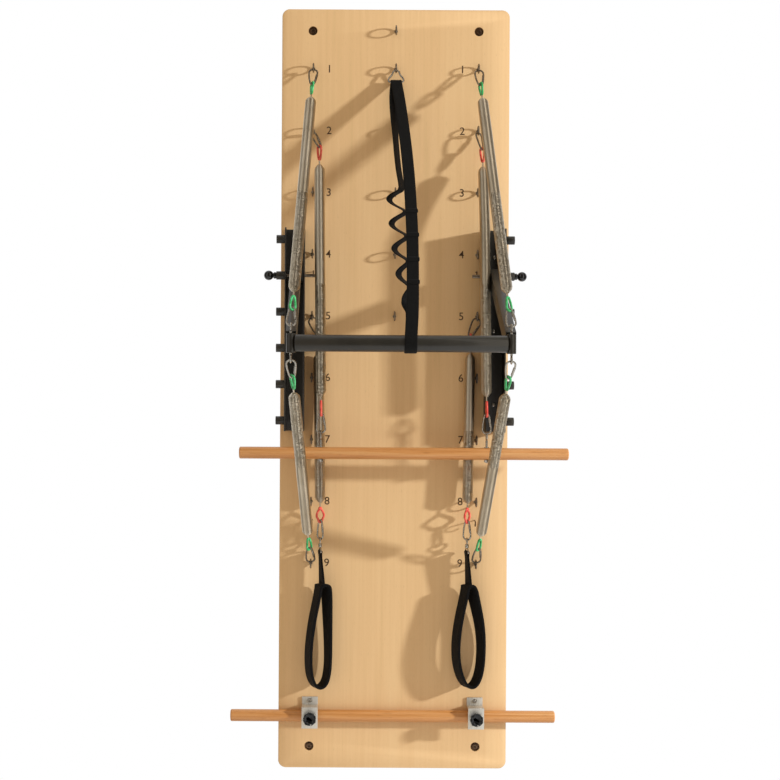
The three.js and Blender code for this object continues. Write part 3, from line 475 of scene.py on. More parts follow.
def bent_wire(points, radius, closed=False):
    """A round wire through points, made a mesh. An open one has closed ends."""
    curve = bpy.data.curves.new("wire", "CURVE")
    curve.dimensions = "3D"
    curve.bevel_depth = radius
    curve.bevel_resolution = wire_sides
    curve.resolution_u = wire_steps
    curve.use_fill_caps = not closed
    spline = curve.splines.new("BEZIER")
    spline.bezier_points.add(len(points) - 1)
    spline.use_cyclic_u = closed
    for knot, point in zip(spline.bezier_points, points):
        knot.co = point
        knot.handle_left_type = knot.handle_right_type = "AUTO"
    activate(link_new("wire", curve))
    bpy.ops.object.convert(target="MESH")
    bpy.ops.object.shade_smooth()
    return bpy.context.object


def arc(x, z, radius, start, stop, count):
    """Points on an arc in X and Z, between two angles in degrees."""
    angles = [math.radians(start + (stop - start) * i / (count - 1)) for i in range(count)]
    return [Vector((x + radius * math.cos(a), 0, z + radius * math.sin(a))) for a in angles]


hook_top_z = -hook_seat
hook_bottom_z = -hook_seat + hook_wide_radius - hook_length + hook_narrow_radius
hook_slope = math.degrees(
    math.asin((hook_wide_radius - hook_narrow_radius) / (hook_top_z - hook_bottom_z))
)
hook_outline = arc(0, hook_top_z, hook_wide_radius, -hook_slope, 180 + hook_slope, 7)
hook_outline += arc(0, hook_bottom_z, hook_narrow_radius, 180 + hook_slope, 360 - hook_slope, 6)
hook_loop = bent_wire(hook_outline, hook_wire_radius, closed=True)
gate = round_edges(cylinder(gate_radius, gate_length, (0, 0, 0), "Z", 20), gate_round)
gate_place = Matrix.Translation((hook_outline[0] + hook_outline[-1]) / 2)
gate.data.transform(gate_place @ Matrix.Rotation(math.radians(hook_slope), 4, "Y"))
hook = joined(hook_loop, gate)


def along(direction):
    """The turn that lays local -Z along a direction and keeps local X level."""
    up = -direction.normalized()
    side = (Vector((1, 0, 0)) - up * up.x).normalized()
    ahead = up.cross(side)
    return Matrix((side, ahead, up)).transposed().to_4x4()


def hang_hook(name, bearing, direction, body, node, turn=0):
    """Hangs a hook from a bearing wire along a direction, turned about that line by degrees."""
    matrix = Matrix.Translation(bearing) @ along(direction)
    matrix = matrix @ Matrix.Rotation(math.radians(turn), 4, "Z")
    # Hooks on the board take the zinc painted darker and browner as painted shade.
    material = shaded_zinc if body == "tower" else zinc
    settle(duplicate(hook, matrix), name, material, body, "zinc", node)


# Extension springs. Eight close-wound springs of 3 mm nickel-plated wire, 28 mm across, drawn
# in at both ends to a neck and an end loop. A sleeve on each end loop gives the spring's
# strength: green on the push-through bar's, red on the long ones and the handles'.
spring_radius = 0.014
spring_wire_radius = 0.0015
spring_pitch = 0.00304
spring_steps = 32
spring_sides = 8
spring_taper = 0.015
spring_taper_share = 0.3
merge_distance = 0.00001
end_loop_radius = 0.007
end_loop_length = 0.038
end_loop_widest_share = 0.45
slim_loops = (end_loop_radius, end_loop_radius)
neck_radius = 0.0019
neck_length = 0.014
neck_overlap = 0.002
spring_end = end_loop_length + neck_length

# Nickel-plated spring wire: warm grey, a little lighter and darker in long upright streaks.
nickel = mottled(
    "nickel_plated_wire", 22, (0.3, "#c9bba3"), (0.7, "#ddd1bc"), stretch=(1, 1, 0.2),
    Metallic=1, Roughness=0.29,
)


def sleeve_material(name, dark, light):
    """Shrunk plastic tube: glossy and slightly see-through, mottled paler in patches."""
    return mottled(
        name, 120, (0.35, dark), (0.7, light), detail=3, Roughness=0.28, IOR=1.5,
        Subsurface_Weight=0.1, Subsurface_Radius=(0.002, 0.002, 0.002),
    )


green_sleeve = sleeve_material("green_pvc_sleeve", "#1c8a3f", "#5cbf7a")
red_sleeve = sleeve_material("red_pvc_sleeve", "#cf3a2c", "#f0705c")


def wound_coil(length):
    """A close-wound coil from the origin down, drawn in at both ends."""
    turns = round(length / spring_pitch)
    middle = spring_radius - spring_wire_radius
    bpy.ops.mesh.primitive_circle_add(
        vertices=spring_sides,
        radius=spring_wire_radius,
        location=(middle, 0, -length),
        rotation=(math.pi / 2, 0, 0),
    )
    coil = modify(
        placed(),
        "SCREW",
        axis="Z",
        screw_offset=length / turns,
        iterations=turns,
        steps=spring_steps,
        render_steps=spring_steps,
        use_smooth_shade=True,
    )
    bpy.ops.object.mode_set(mode="EDIT")
    bpy.ops.mesh.select_all(action="SELECT")
    bpy.ops.mesh.remove_doubles(threshold=merge_distance)
    bpy.ops.mesh.select_mode(type="EDGE")
    bpy.ops.mesh.select_non_manifold()
    bpy.ops.mesh.fill()
    bpy.ops.mesh.select_all(action="SELECT")
    bpy.ops.mesh.normals_make_consistent(inside=False)
    bpy.ops.object.mode_set(mode="OBJECT")
    for vertex in coil.data.vertices:
        x, y, z = vertex.co
        depth = min(-z, length + z)
        if depth < spring_taper:
            rise = math.sin(math.pi / 2 * max(depth, 0) / spring_taper)
            scale = spring_taper_share + (1 - spring_taper_share) * rise
            radius = math.hypot(x, y)
            drawn_in = (radius - middle + middle * scale) / radius
            vertex.co = (x * drawn_in, y * drawn_in, z)
    return coil


def spring_parts(length, turns, half_widths):
    """The coil with its necks, and the two sleeved end loops, from the origin down."""
    coil = wound_coil(length - 2 * spring_end)
    coil.data.transform(Matrix.Translation((0, 0, -spring_end)))
    necks = []
    for near, far in ((end_loop_length, spring_end), (length - spring_end, length - end_loop_length)):
        depths = (near - neck_overlap, (near + far) / 2, far + neck_overlap)
        necks.append(bent_wire([Vector((0, 0, -depth)) for depth in depths], neck_radius))
    coil = joined(*necks, coil)
    sleeves = []
    for flip, turn, half_width in zip((False, True), turns, half_widths):
        outline = arc(0, -end_loop_radius, end_loop_radius, 0, 180, 7)
        tip_radius = end_loop_radius / 2
        tip = arc(0, -end_loop_length + tip_radius, tip_radius, 180, 360, 5)
        if half_width > end_loop_radius:
            widest = -end_loop_length * end_loop_widest_share
            tip = [Vector((-half_width, 0, widest)), *tip, Vector((half_width, 0, widest))]
        sleeve = bent_wire(outline + tip, end_loop_wire_radius, closed=True)
        sleeve.data.transform(Matrix.Rotation(math.radians(90 + turn), 4, "Z"))
        if flip:
            end = Matrix.Translation((0, 0, -length))
            sleeve.data.transform(end @ Matrix.Rotation(math.pi, 4, "X"))
        sleeves.append(sleeve)
    return coil, sleeves


def bend_mesh(piece, offset, reach, power):
    """Moves a straight spring's points off its line, as the rest of a reach to a power."""
    for vertex in piece.data.vertices:
        rest = min(max(1 + vertex.co.z / reach, 0), 1)
        vertex.co.y += offset * rest**power


def hang_spring(node, start, stop, sleeve, bodies, turns, bend=None, half_widths=slim_loops):
    """Lays a spring between the middles of its two end loops' wires. Turns are the loops'."""
    length = (stop - start).length
    coil, sleeves = spring_parts(length, turns, half_widths)
    matrix = Matrix.Translation(start) @ along(stop - start)
    for piece in (coil, *sleeves):
        if bend:
            bend_mesh(piece, *bend)
        piece.data.transform(matrix)
    first, last = bodies
    rigid = first if first == last else None
    settle(coil, "wound_" + node, nickel, rigid, "spring_steel", node)
    if not rigid:
        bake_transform(coil)
    for piece, side, body in zip(sleeves, ("start", "end"), bodies):
        settle(piece, f"{node}_sleeve_{side}", sleeve, body, "black_plastic")


def bearing_on(middle, ring_radius, direction):
    """The middle of a ring's wire, on the side that faces along a direction."""
    return middle + Vector((0, direction.y, direction.z)).normalized() * ring_radius


# Push-through bar's springs. The upper pair pulls from the first row and the lower pair from
# the last row, each straight to an eye on the bar's end post.
axle_depth = 0.044
axle_z = 0.2936
axle_y = board_face - axle_depth
arm_length = 0.400
arm_drop = math.radians(28)
arm_x = 0.259
bar_y = axle_y - arm_length * math.cos(arm_drop)
bar_z = axle_z - arm_length * math.sin(arm_drop)
end_post_height = 0.046
end_eye_radius = 0.009
end_eye_reach = 0.014
sides = {"left": -1, "right": 1}
spring_levels = (("upper", 0, 1, (25, 62)), ("lower", row_count - 1, -1, (50, 42)))

for name, side in sides.items():
    for level, row, end, turns in spring_levels:
        ring_z = bar_z + end * (end_post_height / 2 + end_eye_reach)
        eye_middle = Vector((side * column_x, eye_y, row_z(row)))
        ring_middle = Vector((side * arm_x, bar_y, ring_z))
        run = (ring_middle - eye_middle).normalized()
        eye_bearing = bearing_on(eye_middle, eye_ring_radius, run)
        ring_bearing = bearing_on(ring_middle, end_eye_radius, -run)
        line = (ring_bearing - eye_bearing).normalized()
        start = eye_bearing + line * hook_reach
        stop = ring_bearing - line * hook_reach
        bodies = ("tower", "push_bar")
        hang_spring(f"{level}_spring_{name}", start, stop, green_sleeve, bodies, turns)
        node = f"eye_bolt_{name}_{row + 1}"
        hang_hook(f"{level}_board_hook_{name}", eye_bearing, line, "tower", node)
        node = f"{level}_hook_{name}"
        hang_hook(f"{level}_bar_hook_{name}", ring_bearing, -line, "push_bar", node)


# Long springs of the roll-down bar. They start at the second row, come out past the side
# channels' front edges and hang plumb in front of the axle pins.
channel_depth = 0.056
channel_clearance = 0.004
roll_row = 1
roll_bar_z = -0.167
roll_shift_x = 0.023
roll_eye_x = 0.214
roll_eye_height = 0.046
roll_top_drift = {"left": 0.017, "right": 0.009}
roll_hook_angle = math.radians(15)
roll_bend_lap = 0.024
roll_turn = 42
channel_top_z = 0.418
roll_bar_y = board_face - channel_depth - spring_radius - channel_clearance
roll_eye_top_z = roll_bar_z + roll_eye_height + eye_ring_radius
upward = Vector((0, 0, 1))

for name, side in sides.items():
    eye_middle = Vector((side * column_x, eye_y, row_z(roll_row)))
    drift = roll_top_drift[name] / hook_reach
    out = math.sin(roll_hook_angle)
    plumb = math.sqrt(1 - drift**2 - out**2)
    direction = Vector((drift, -out, -plumb))
    top = bearing_on(eye_middle, eye_ring_radius, direction)
    loop_top = top + direction * hook_reach
    bearing = Vector((side * roll_eye_x + roll_shift_x, roll_bar_y, roll_eye_top_z))
    offset = loop_top.y - roll_bar_y
    reach = loop_top.z - channel_top_z + roll_bend_lap
    bend = (offset, reach, reach * out / (plumb * offset))
    start = Vector((loop_top.x, roll_bar_y, loop_top.z))
    stop = bearing + upward * hook_reach
    bodies, turns = ("roll_springs", "roll_bar"), (roll_turn, 0)
    hang_spring(f"roll_spring_{name}", start, stop, red_sleeve, bodies, turns, bend)
    node = f"eye_bolt_{name}_{roll_row + 1}"
    hang_hook(f"roll_board_hook_{name}", top, direction, "tower", node, roll_turn)
    node = f"roll_bar_hook_{name}"
    hang_hook(f"roll_bar_snap_hook_{name}", bearing, upward, "roll_bar", node)


# Short springs of the hand loops, from the fifth row, which lean a little to the middle. Their
# lower end loops are wider, and turn with the snap hooks in them.
handle_row = 4
handle_hook_lean = 0.017
handle_spring_lean = 0.008
handle_snap_turn = {"left": 48, "right": 36}
handle_half_widths = (end_loop_radius, 0.0125)
swivel_y = -0.0546
swivel_z = -0.3896
swivel_bearing = {}

for name, side in sides.items():
    lean = -side * handle_hook_lean / hook_reach
    direction = Vector((lean, 0, -math.sqrt(1 - lean**2)))
    eye_middle = Vector((side * column_x, eye_y, row_z(handle_row)))
    top = bearing_on(eye_middle, eye_ring_radius, direction)
    start = top + direction * hook_reach
    bearing = Vector((start.x - side * handle_spring_lean, swivel_y, swivel_z))
    swivel_bearing[name] = bearing
    stop = bearing + upward * hook_reach
    turn = handle_snap_turn[name]
    bodies, turns, wide = ("tower", "tower"), (0, turn), {"half_widths": handle_half_widths}
    hang_spring(f"handle_spring_{name}", start, stop, red_sleeve, bodies, turns, **wide)
    node = f"eye_bolt_{name}_{handle_row + 1}"
    hang_hook(f"handle_board_hook_{name}", top, direction, "tower", node)
    body, node = f"hand_loop_{name}", f"swivel_hook_{name}"
    hang_hook(f"handle_snap_hook_{name}", bearing, upward, body, node, turn)
bpy.data.objects.remove(hook)


# Side channels. Two 530 mm lengths of folded steel channel, powder-coated black, screwed to
# the board with pan-head screws. Each outer wall has a row of bosses with plugs, 94.4 mm
# apart, and the axle pin takes one of them.
channel_x = 0.262
channel_width = 0.052
channel_wall = 0.004
channel_height = 0.530
channel_middle_z = 0.153
channel_round = 0.0009
station_count = 6
station_one_z = 0.388
station_pitch = 0.0944
axle_station = 1
axle_bore_radius = 0.0056
boss_radius = 0.011
boss_length = 0.022
boss_round = 0.0008
plug_radius = 0.0085
plug_thickness = 0.0015
plug_round = 0.0005
web_screw_shares = (-0.365, 0.0, 0.365)
web_screw_radius = 0.0055
web_screw_height = 0.0028
screw_recess_share = 0.25
channel_outer_x = channel_x + channel_width / 2

# Black powder coat on steel: a warm near-black with a fine orange-peel surface and soft
# gloss, paler where dust lies on it.
powder = mottled(
    "black_powder_coat", 14, (0.3, "#1c1812"), (0.75, "#2f291f"), stretch=(1, 1, 0.5), detail=5,
    Roughness=0.42, Coat_Weight=0.2,
)
tree = powder.node_tree
surface(powder, Normal=bump(tree, noise(tree, 900, Detail=3), 0.15, 0.0002))

# Black nylon plugs: softer and blacker than the coat round them.
nylon = mottled("black_nylon", 300, (0.3, "#090807"), (0.7, "#141210"), Roughness=0.5)


def station_z(station):
    return station_one_z - station * station_pitch


def make_channel(side):
    """A channel cut from a block from behind its front face, with its bosses."""
    back = board_face - seat_gap
    size = (channel_width, channel_depth, channel_height)
    channel = box((side * channel_x, back - channel_depth / 2, channel_middle_z), size)
    hollow = (
        channel_width - 2 * channel_wall,
        channel_depth - channel_wall + cut_overrun,
        channel_height + 2 * cut_overrun,
    )
    hollow_y = back - channel_wall - hollow[1] / 2
    combine(channel, box((side * channel_x, hollow_y, channel_middle_z), hollow))
    bore_length = channel_width + 2 * cut_overrun
    bore_middle = (side * channel_x, axle_y, axle_z)
    combine(channel, cylinder(axle_bore_radius, bore_length, bore_middle, "X"))
    pieces = [round_edges(channel, channel_round)]
    for station in range(station_count):
        z = station_z(station)
        middle = (side * (channel_outer_x + boss_length / 2), axle_y, z)
        boss = cylinder(boss_radius, boss_length, middle, "X", 40)
        bored = station == axle_station
        recess_radius = axle_bore_radius if bored else plug_radius
        recess_length = 2 * (boss_length if bored else plug_thickness)
        mouth = (side * (channel_outer_x + boss_length), axle_y, z)
        combine(boss, cylinder(recess_radius, recess_length, mouth, "X"))
        pieces.append(round_edges(boss, boss_round))
    return joined(*pieces)


def make_plugs(side):
    plugs = []
    x = side * (channel_outer_x + boss_length - plug_thickness / 2)
    for station in range(station_count):
        if station != axle_station:
            middle = (x, axle_y, station_z(station))
            plug = cylinder(plug_radius - seat_gap, plug_thickness, middle, "X")
            plugs.append(round_edges(plug, plug_round))
    return joined(*plugs)


def pan_screw(x, y, z, radius, height):
    """A pan head with a cross recess, facing forwards, whose seat is at y."""
    bpy.ops.mesh.primitive_uv_sphere_add(
        segments=24, ring_count=12, radius=radius, location=(x, y, z), scale=(1, height / radius, 1)
    )
    head = placed()
    bpy.ops.object.mode_set(mode="EDIT")
    bpy.ops.mesh.select_all(action="SELECT")
    seat = (x, y - seat_gap, z)
    bpy.ops.mesh.bisect(plane_co=seat, plane_no=(0, 1, 0), use_fill=True, clear_outer=True)
    bpy.ops.object.mode_set(mode="OBJECT")
    slot = radius * screw_recess_share
    for wide, tall in ((radius, slot), (slot, radius)):
        combine(head, box((x, y - height, z), (wide, height, tall)))
    return smooth(head, 40)


for name, side in sides.items():
    node = f"side_channel_{name}"
    settle(make_channel(side), f"coated_{node}", powder, "tower", "black_steel", node)
    settle(make_plugs(side), f"channel_plugs_{name}", nylon, "tower", "black_plastic")
    seat_y = board_face - seat_gap - channel_wall
    heights = [channel_middle_z + share * channel_height for share in web_screw_shares]
    screws = [
        pan_screw(side * channel_x, seat_y, z, web_screw_radius, web_screw_height) for z in heights
    ]
    settle(joined(*screws), f"channel_screws_{name}", zinc, "tower", "zinc")


# Axle pins. A steel rod with a rounded tip that runs through the channel and the arm, with a
# moulded collar and a black ball knob outside to pull it by.
axle_radius = 0.0045
axle_inner_x = 0.200
axle_tip_round = 0.0018
collar_radius = 0.0085
collar_length = 0.007
collar_round = 0.0015
ball_radius = 0.0127
ball_neck_radius = 0.006
boss_face_x = channel_outer_x + boss_length + seat_gap

# Phenolic ball: very black and glossy, with faint swirl marks in its polish.
phenolic, tree = new_material("black_phenolic", Base_Color=linear("#0c0c0d"), Coat_Weight=0.4)
swirl = noise(tree, 150, Detail=6)
surface(phenolic, Roughness=remap(tree, swirl, 0, 1, 0.08, 0.24))


def axle_round(side, radius, start, length, sides=32):
    """A round bar on the axle's line, from a distance off the middle of the tower outwards."""
    return cylinder(radius, length, (side * (start + length / 2), axle_y, axle_z), "X", sides)


for name, side in sides.items():
    body, node = f"pin_{name}", f"axle_pin_{name}"
    rod = axle_round(side, axle_radius, axle_inner_x, boss_face_x - axle_inner_x, 28)
    round_edges(rod, axle_tip_round, 3)
    # The rod takes the zinc painted darker and browner as painted shade.
    settle(rod, f"axle_rod_{name}", shaded_zinc, body, "zinc", node)
    collar = axle_round(side, collar_radius, boss_face_x, collar_length, 40)
    round_edges(collar, collar_round, 3)
    neck = axle_round(side, ball_neck_radius, boss_face_x, collar_length + ball_radius / 2)
    ball_x = side * (boss_face_x + collar_length + ball_radius - seat_gap)
    bpy.ops.mesh.primitive_uv_sphere_add(
        segments=48,
        ring_count=24,
        radius=ball_radius,
        location=(ball_x, axle_y, axle_z),
        rotation=(0, math.pi / 2, 0),
    )
    bpy.ops.object.shade_smooth()
    knob = joined(collar, neck, placed())
    settle(knob, f"ball_knob_{name}", phenolic, body, "black_plastic", node)


# Push-through bar. Two arms of 40 by 25 mm rectangular tube with rounded upper ends swing on
# the axle pins, and a 40 mm round crossbar is welded between the posts at their lower ends.
# A nylon washer round each axle keeps the arm off its channel's inner wall.
arm_width = 0.025
arm_height = 0.040
arm_wall = 0.002
arm_round = 0.0016
crossbar_radius = 0.020
crossbar_wall = 0.0025
crossbar_round = 0.0008
end_post_radius = 0.011
end_post_round = 0.0012
weld_radius = 0.0016
weld_ring_share = 0.9
end_shank_radius = 0.003
washer_radius = 0.0185
washer_clearance = 0.0006
washer_round = 0.0006


def make_arm(side):
    """A bar with its upper end rounded, hollowed from below, tilted down and trimmed plumb."""
    arm = box((0, -arm_length / 2, 0), (arm_width, arm_length, arm_height))
    combine(arm, cylinder(arm_height / 2, arm_width, (0, 0, 0), "X", 64), "UNION")
    hollow = (arm_width - 2 * arm_wall, arm_length, arm_height - 2 * arm_wall)
    combine(arm, box((0, -arm_height / 2 - arm_length / 2, 0), hollow))
    combine(arm, cylinder(axle_bore_radius, 2 * arm_width, (0, 0, 0), "X"))
    place = Matrix.Translation((side * arm_x, axle_y, axle_z))
    arm.data.transform(place @ Matrix.Rotation(arm_drop, 4, "X"))
    post_back = bar_y + end_post_radius + seat_gap
    trim_middle = (side * arm_x, post_back - arm_length / 2, bar_z)
    combine(arm, box(trim_middle, (2 * arm_width, arm_length, arm_length)))
    return round_edges(arm, arm_round, 3)


def make_washer(side):
    """A washer between the channel's inner wall and the arm."""
    inner_x = arm_x - arm_width / 2
    wall_x = channel_x - channel_width / 2 + channel_wall + washer_clearance
    middle = (side * (wall_x + inner_x) / 2, axle_y, axle_z)
    washer = cylinder(washer_radius, inner_x - wall_x, middle, "X", 48)
    bore_middle = (side * wall_x, axle_y, axle_z)
    combine(washer, cylinder(axle_bore_radius, 2 * arm_width, bore_middle, "X"))
    return round_edges(washer, washer_round)


for name, side in sides.items():
    node = f"push_arm_{name}"
    settle(make_arm(side), f"coated_{node}", powder, "push_bar", "black_steel", node)
    settle(make_washer(side), f"nylon_washer_{name}", nylon, "push_bar", "black_plastic")
    post = cylinder(end_post_radius, end_post_height, (side * arm_x, bar_y, bar_z), "Z", 40)
    round_edges(post, end_post_round)
    weld_middle = (side * (arm_x - end_post_radius), bar_y, bar_z)
    weld = ring(end_post_radius * weld_ring_share, weld_radius, weld_middle)
    node = f"end_post_{name}"
    settle(joined(weld, post), f"coated_{node}", powder, "push_bar", "black_steel", node)
    rings = []
    for end in (-1, 1):
        ring_z = bar_z + end * (end_post_height / 2 + end_eye_reach)
        rings.append(ring(end_eye_radius, eye_wire_radius, (side * arm_x, bar_y, ring_z)))
        shank = end_eye_reach - end_eye_radius
        shank_middle = (side * arm_x, bar_y, bar_z + end * (end_post_height / 2 + shank / 2))
        rings.append(cylinder(end_shank_radius, shank, shank_middle, "Z", 20))
    settle(joined(*rings), f"end_eyes_{name}", zinc, "push_bar", "zinc", node)

bar_middle = (0, bar_y, bar_z)
crossbar_length = 2 * (arm_x - end_post_radius + weld_radius)
crossbar = cylinder(crossbar_radius, crossbar_length, bar_middle, "X", 64)
bore_length = crossbar_length + 2 * cut_overrun
combine(crossbar, cylinder(crossbar_radius - crossbar_wall, bore_length, bar_middle, "X", 48))
round_edges(crossbar, crossbar_round)
settle(crossbar, "coated_crossbar", powder, "push_bar", "black_steel", "push_crossbar")


# Wooden bars. The roll-down bar and the foot bar are 31 mm turned dowels of oiled hardwood,
# 850 mm long, with rounded ends.
dowel_radius = 0.0155
dowel_length = 0.850
dowel_end_radius = 0.004
dowel_grain_width = 0.0016
foot_bar_z = -0.859
foot_bar_y = board_face - dowel_radius - seat_gap

# Oiled hardwood: honey brown, with fine streaks along the bar and short darker flecks.
hardwood, tree = new_material("oiled_hardwood", Roughness=0.38, Coat_Weight=0.12)
grain_scale = 1 / (dowel_grain_width * grains_per_noise_cell)
grain = noise(tree, grain_scale, (0.025, 1, 1), Detail=7, Roughness=0.62, Distortion=0.4)
flecks = noise(tree, 520, (0.06, 1, 1), Detail=2)
honey = ramp(tree, grain, (0.3, "#b97637"), (0.5, "#cc894a"), (0.7, "#d79c60"))
flecked = mix(tree, remap(tree, flecks, 0.6, 0.72, 0, 0.5), honey, linear("#9c602b"))
surface(hardwood, Base_Color=flecked, Normal=bump(tree, grain, 0.15, 0.0003))

roll_bar = cylinder(dowel_radius, dowel_length, (roll_shift_x, roll_bar_y, roll_bar_z), "X", 64)
round_edges(roll_bar, dowel_end_radius, 5)
settle(roll_bar, "turned_roll_down_bar", hardwood, "roll_bar", "beech", "roll_down_bar")
foot_bar = cylinder(dowel_radius, dowel_length, (0, foot_bar_y, foot_bar_z), "X", 64)
round_edges(foot_bar, dowel_end_radius, 5)
settle(foot_bar, "turned_foot_bar", hardwood, "tower", "beech", "foot_bar")


# Roll-down bar's eye bolts. Each passes through the dowel between a washer on top and a nut
# below, and its ring takes the snap hook of a long spring.
roll_shank_radius = 0.003
roll_shank_overhang = 0.002
roll_shank_round = 0.0006
roll_nut_radius = 0.007
roll_nut_height = 0.006
roll_nut_round = 0.0005
roll_washer_thickness = 0.0015
roll_washer_rise = 0.001
roll_washer_round = 0.0004

for name, side in sides.items():
    x = side * roll_eye_x + roll_shift_x
    ring_z = roll_bar_z + roll_eye_height
    eye_ring = ring(eye_ring_radius, eye_wire_radius, (x, roll_bar_y, ring_z))
    top = ring_z - eye_ring_radius
    bottom = roll_bar_z - dowel_radius - roll_nut_height - roll_shank_overhang
    shank = cylinder(roll_shank_radius, top - bottom, (x, roll_bar_y, (top + bottom) / 2), "Z", 20)
    round_edges(shank, roll_shank_round)
    nut_z = roll_bar_z - dowel_radius - seat_gap - roll_nut_height / 2
    nut = cylinder(roll_nut_radius, roll_nut_height, (x, roll_bar_y, nut_z), "Z", 6)
    round_edges(nut, roll_nut_round)
    washer_middle = (x, roll_bar_y, roll_bar_z + dowel_radius + roll_washer_rise)
    washer = cylinder(roll_nut_radius, roll_washer_thickness, washer_middle, "Z", 28)
    round_edges(washer, roll_washer_round)
    parts = joined(eye_ring, shank, nut, washer)
    settle(parts, f"roll_bar_eye_{name}", zinc, "roll_bar", "zinc", f"roll_bar_hook_{name}")


# Foot bar's clamps. Each is a strip of brushed steel 42 mm wide, folded round the dowel and
# screwed to the board by its upper tab. A star knob's stud presses the dowel to the board.
clamp_width = 0.042
clamp_thickness = 0.004
clamp_tab_height = 0.019
clamp_drop = 0.056
clamp_clearance = 0.008
clamp_round = 0.0012
clamp_screw_radius = 0.0058
clamp_screw_height = 0.003
stud_bore_radius = 0.005
clamp_plate_y = foot_bar_y - dowel_radius - clamp_clearance
clamp_top = foot_bar_z + clamp_drop / 2
square_on = 0.9

# Brushed steel: bright grey drawn into fine lines along the strip.
brushed = mottled(
    "brushed_steel", 1400, (0.3, "#cbc3b4"), (0.7, "#ebe4d7"), stretch=(1, 0.04, 0.04), detail=3,
    relief=(0.2, 0.0001), Metallic=0.75, Roughness=0.45,
)


def make_clamp(side):
    """A strip folded from its tab: a thin block extruded forwards, then down as the plate."""
    x = side * column_x
    back = board_face - seat_gap
    tab_z = clamp_top + (clamp_tab_height - clamp_thickness) / 2
    tab_size = (clamp_width, clamp_thickness, clamp_tab_height + clamp_thickness)
    clamp = box((x, back - clamp_thickness / 2, tab_z), tab_size)

    def below_tab(face):
        return face.normal.y < -square_on and face.calc_center_median().z < clamp_top

    def under_plate(face):
        return face.normal.z < -square_on and face.calc_center_median().y < clamp_plate_y

    def extrude(y, z):
        bpy.ops.mesh.extrude_region_move(TRANSFORM_OT_translate={"value": (0, y, z)})

    bpy.ops.object.mode_set(mode="EDIT")
    bpy.ops.mesh.select_all(action="SELECT")
    bpy.ops.mesh.bisect(plane_co=(x, 0, clamp_top), plane_no=(0, 0, 1))
    select_parts(clamp, "FACE", below_tab)
    extrude(clamp_plate_y - (back - clamp_thickness), 0)
    extrude(-clamp_thickness, 0)
    select_parts(clamp, "FACE", under_plate)
    extrude(0, clamp_thickness - clamp_drop)
    bpy.ops.object.mode_set(mode="OBJECT")
    stud_bore = (x, clamp_plate_y - clamp_thickness / 2, foot_bar_z)
    combine(clamp, cylinder(stud_bore_radius, 2 * clamp_thickness, stud_bore, "Y", 28))
    return round_edges(clamp, clamp_round, 3)


# Star knobs. Moulded black plastic with seven soft lobes and a sunk front face, on a steel
# stud that passes through the clamp's plate.
knob_radius = 0.0165
knob_lobe = 0.0018
knob_lobe_count = 7
knob_lobe_steps = 12
knob_thickness = 0.013
knob_round = 0.0018
knob_rim_width = 0.0035
knob_recess_slope = 0.0015
knob_recess_depth = 0.0012
knob_hub_radius = 0.009
knob_hub_length = 0.005
knob_hub_round = 0.0008
stud_radius = 0.004
stud_round = 0.0006

# Moulded thermoset: black with a low even gloss and a fine flow texture.
moulded = mottled(
    "moulded_black_plastic", 600, (0.3, "#101010"), (0.7, "#1d1d1e"), detail=4,
    relief=(0.1, 0.0002), Roughness=0.32,
)


def make_knob(x):
    """A lobed head with a sunk front face, and the hub behind it."""
    hub_back = clamp_plate_y - clamp_thickness - seat_gap
    middle = (x, hub_back - knob_hub_length - knob_thickness / 2, foot_bar_z)
    head = cylinder(knob_radius, knob_thickness, middle, "Y", knob_lobe_count * knob_lobe_steps)
    for vertex in head.data.vertices:
        angle = math.atan2(vertex.co.z - foot_bar_z, vertex.co.x - x)
        radius = knob_radius - knob_lobe * (1 - math.cos(knob_lobe_count * angle))
        vertex.co.x = x + radius * math.cos(angle)
        vertex.co.z = foot_bar_z + radius * math.sin(angle)
    activate(head)
    bpy.ops.object.mode_set(mode="EDIT")
    select_parts(head, "FACE", lambda face: face.normal.y < -square_on)
    bpy.ops.mesh.inset(thickness=knob_rim_width, depth=0)
    bpy.ops.mesh.inset(thickness=knob_recess_slope, depth=-knob_recess_depth)
    bpy.ops.object.mode_set(mode="OBJECT")
    round_edges(head, knob_round, 3, 40)
    hub_middle = (x, hub_back - knob_hub_length / 2, foot_bar_z)
    hub = cylinder(knob_hub_radius, knob_hub_length, hub_middle, "Y", 36)
    return joined(round_edges(hub, knob_hub_round), head)


for name, side in sides.items():
    x = side * column_x
    node = f"foot_clamp_{name}"
    settle(make_clamp(side), f"folded_{node}", brushed, "tower", "brushed_plate", node)
    seat = (x, board_face - seat_gap - clamp_thickness, clamp_top + clamp_tab_height / 2)
    screw = pan_screw(*seat, clamp_screw_radius, clamp_screw_height)
    settle(screw, f"clamp_screw_{name}", zinc, "tower", "zinc")
    body, node = f"knob_{name}", f"clamp_knob_{name}"
    settle(make_knob(x), f"star_{node}", moulded, body, "black_plastic", node)
    back = foot_bar_y - dowel_radius - seat_gap
    length = back - (clamp_plate_y - clamp_thickness - knob_hub_length)
    stud = cylinder(stud_radius, length, (x, back - length / 2, foot_bar_z), "Y", 24)
    settle(round_edges(stud, stud_round), f"knob_stud_{name}", zinc, body, "zinc", node)


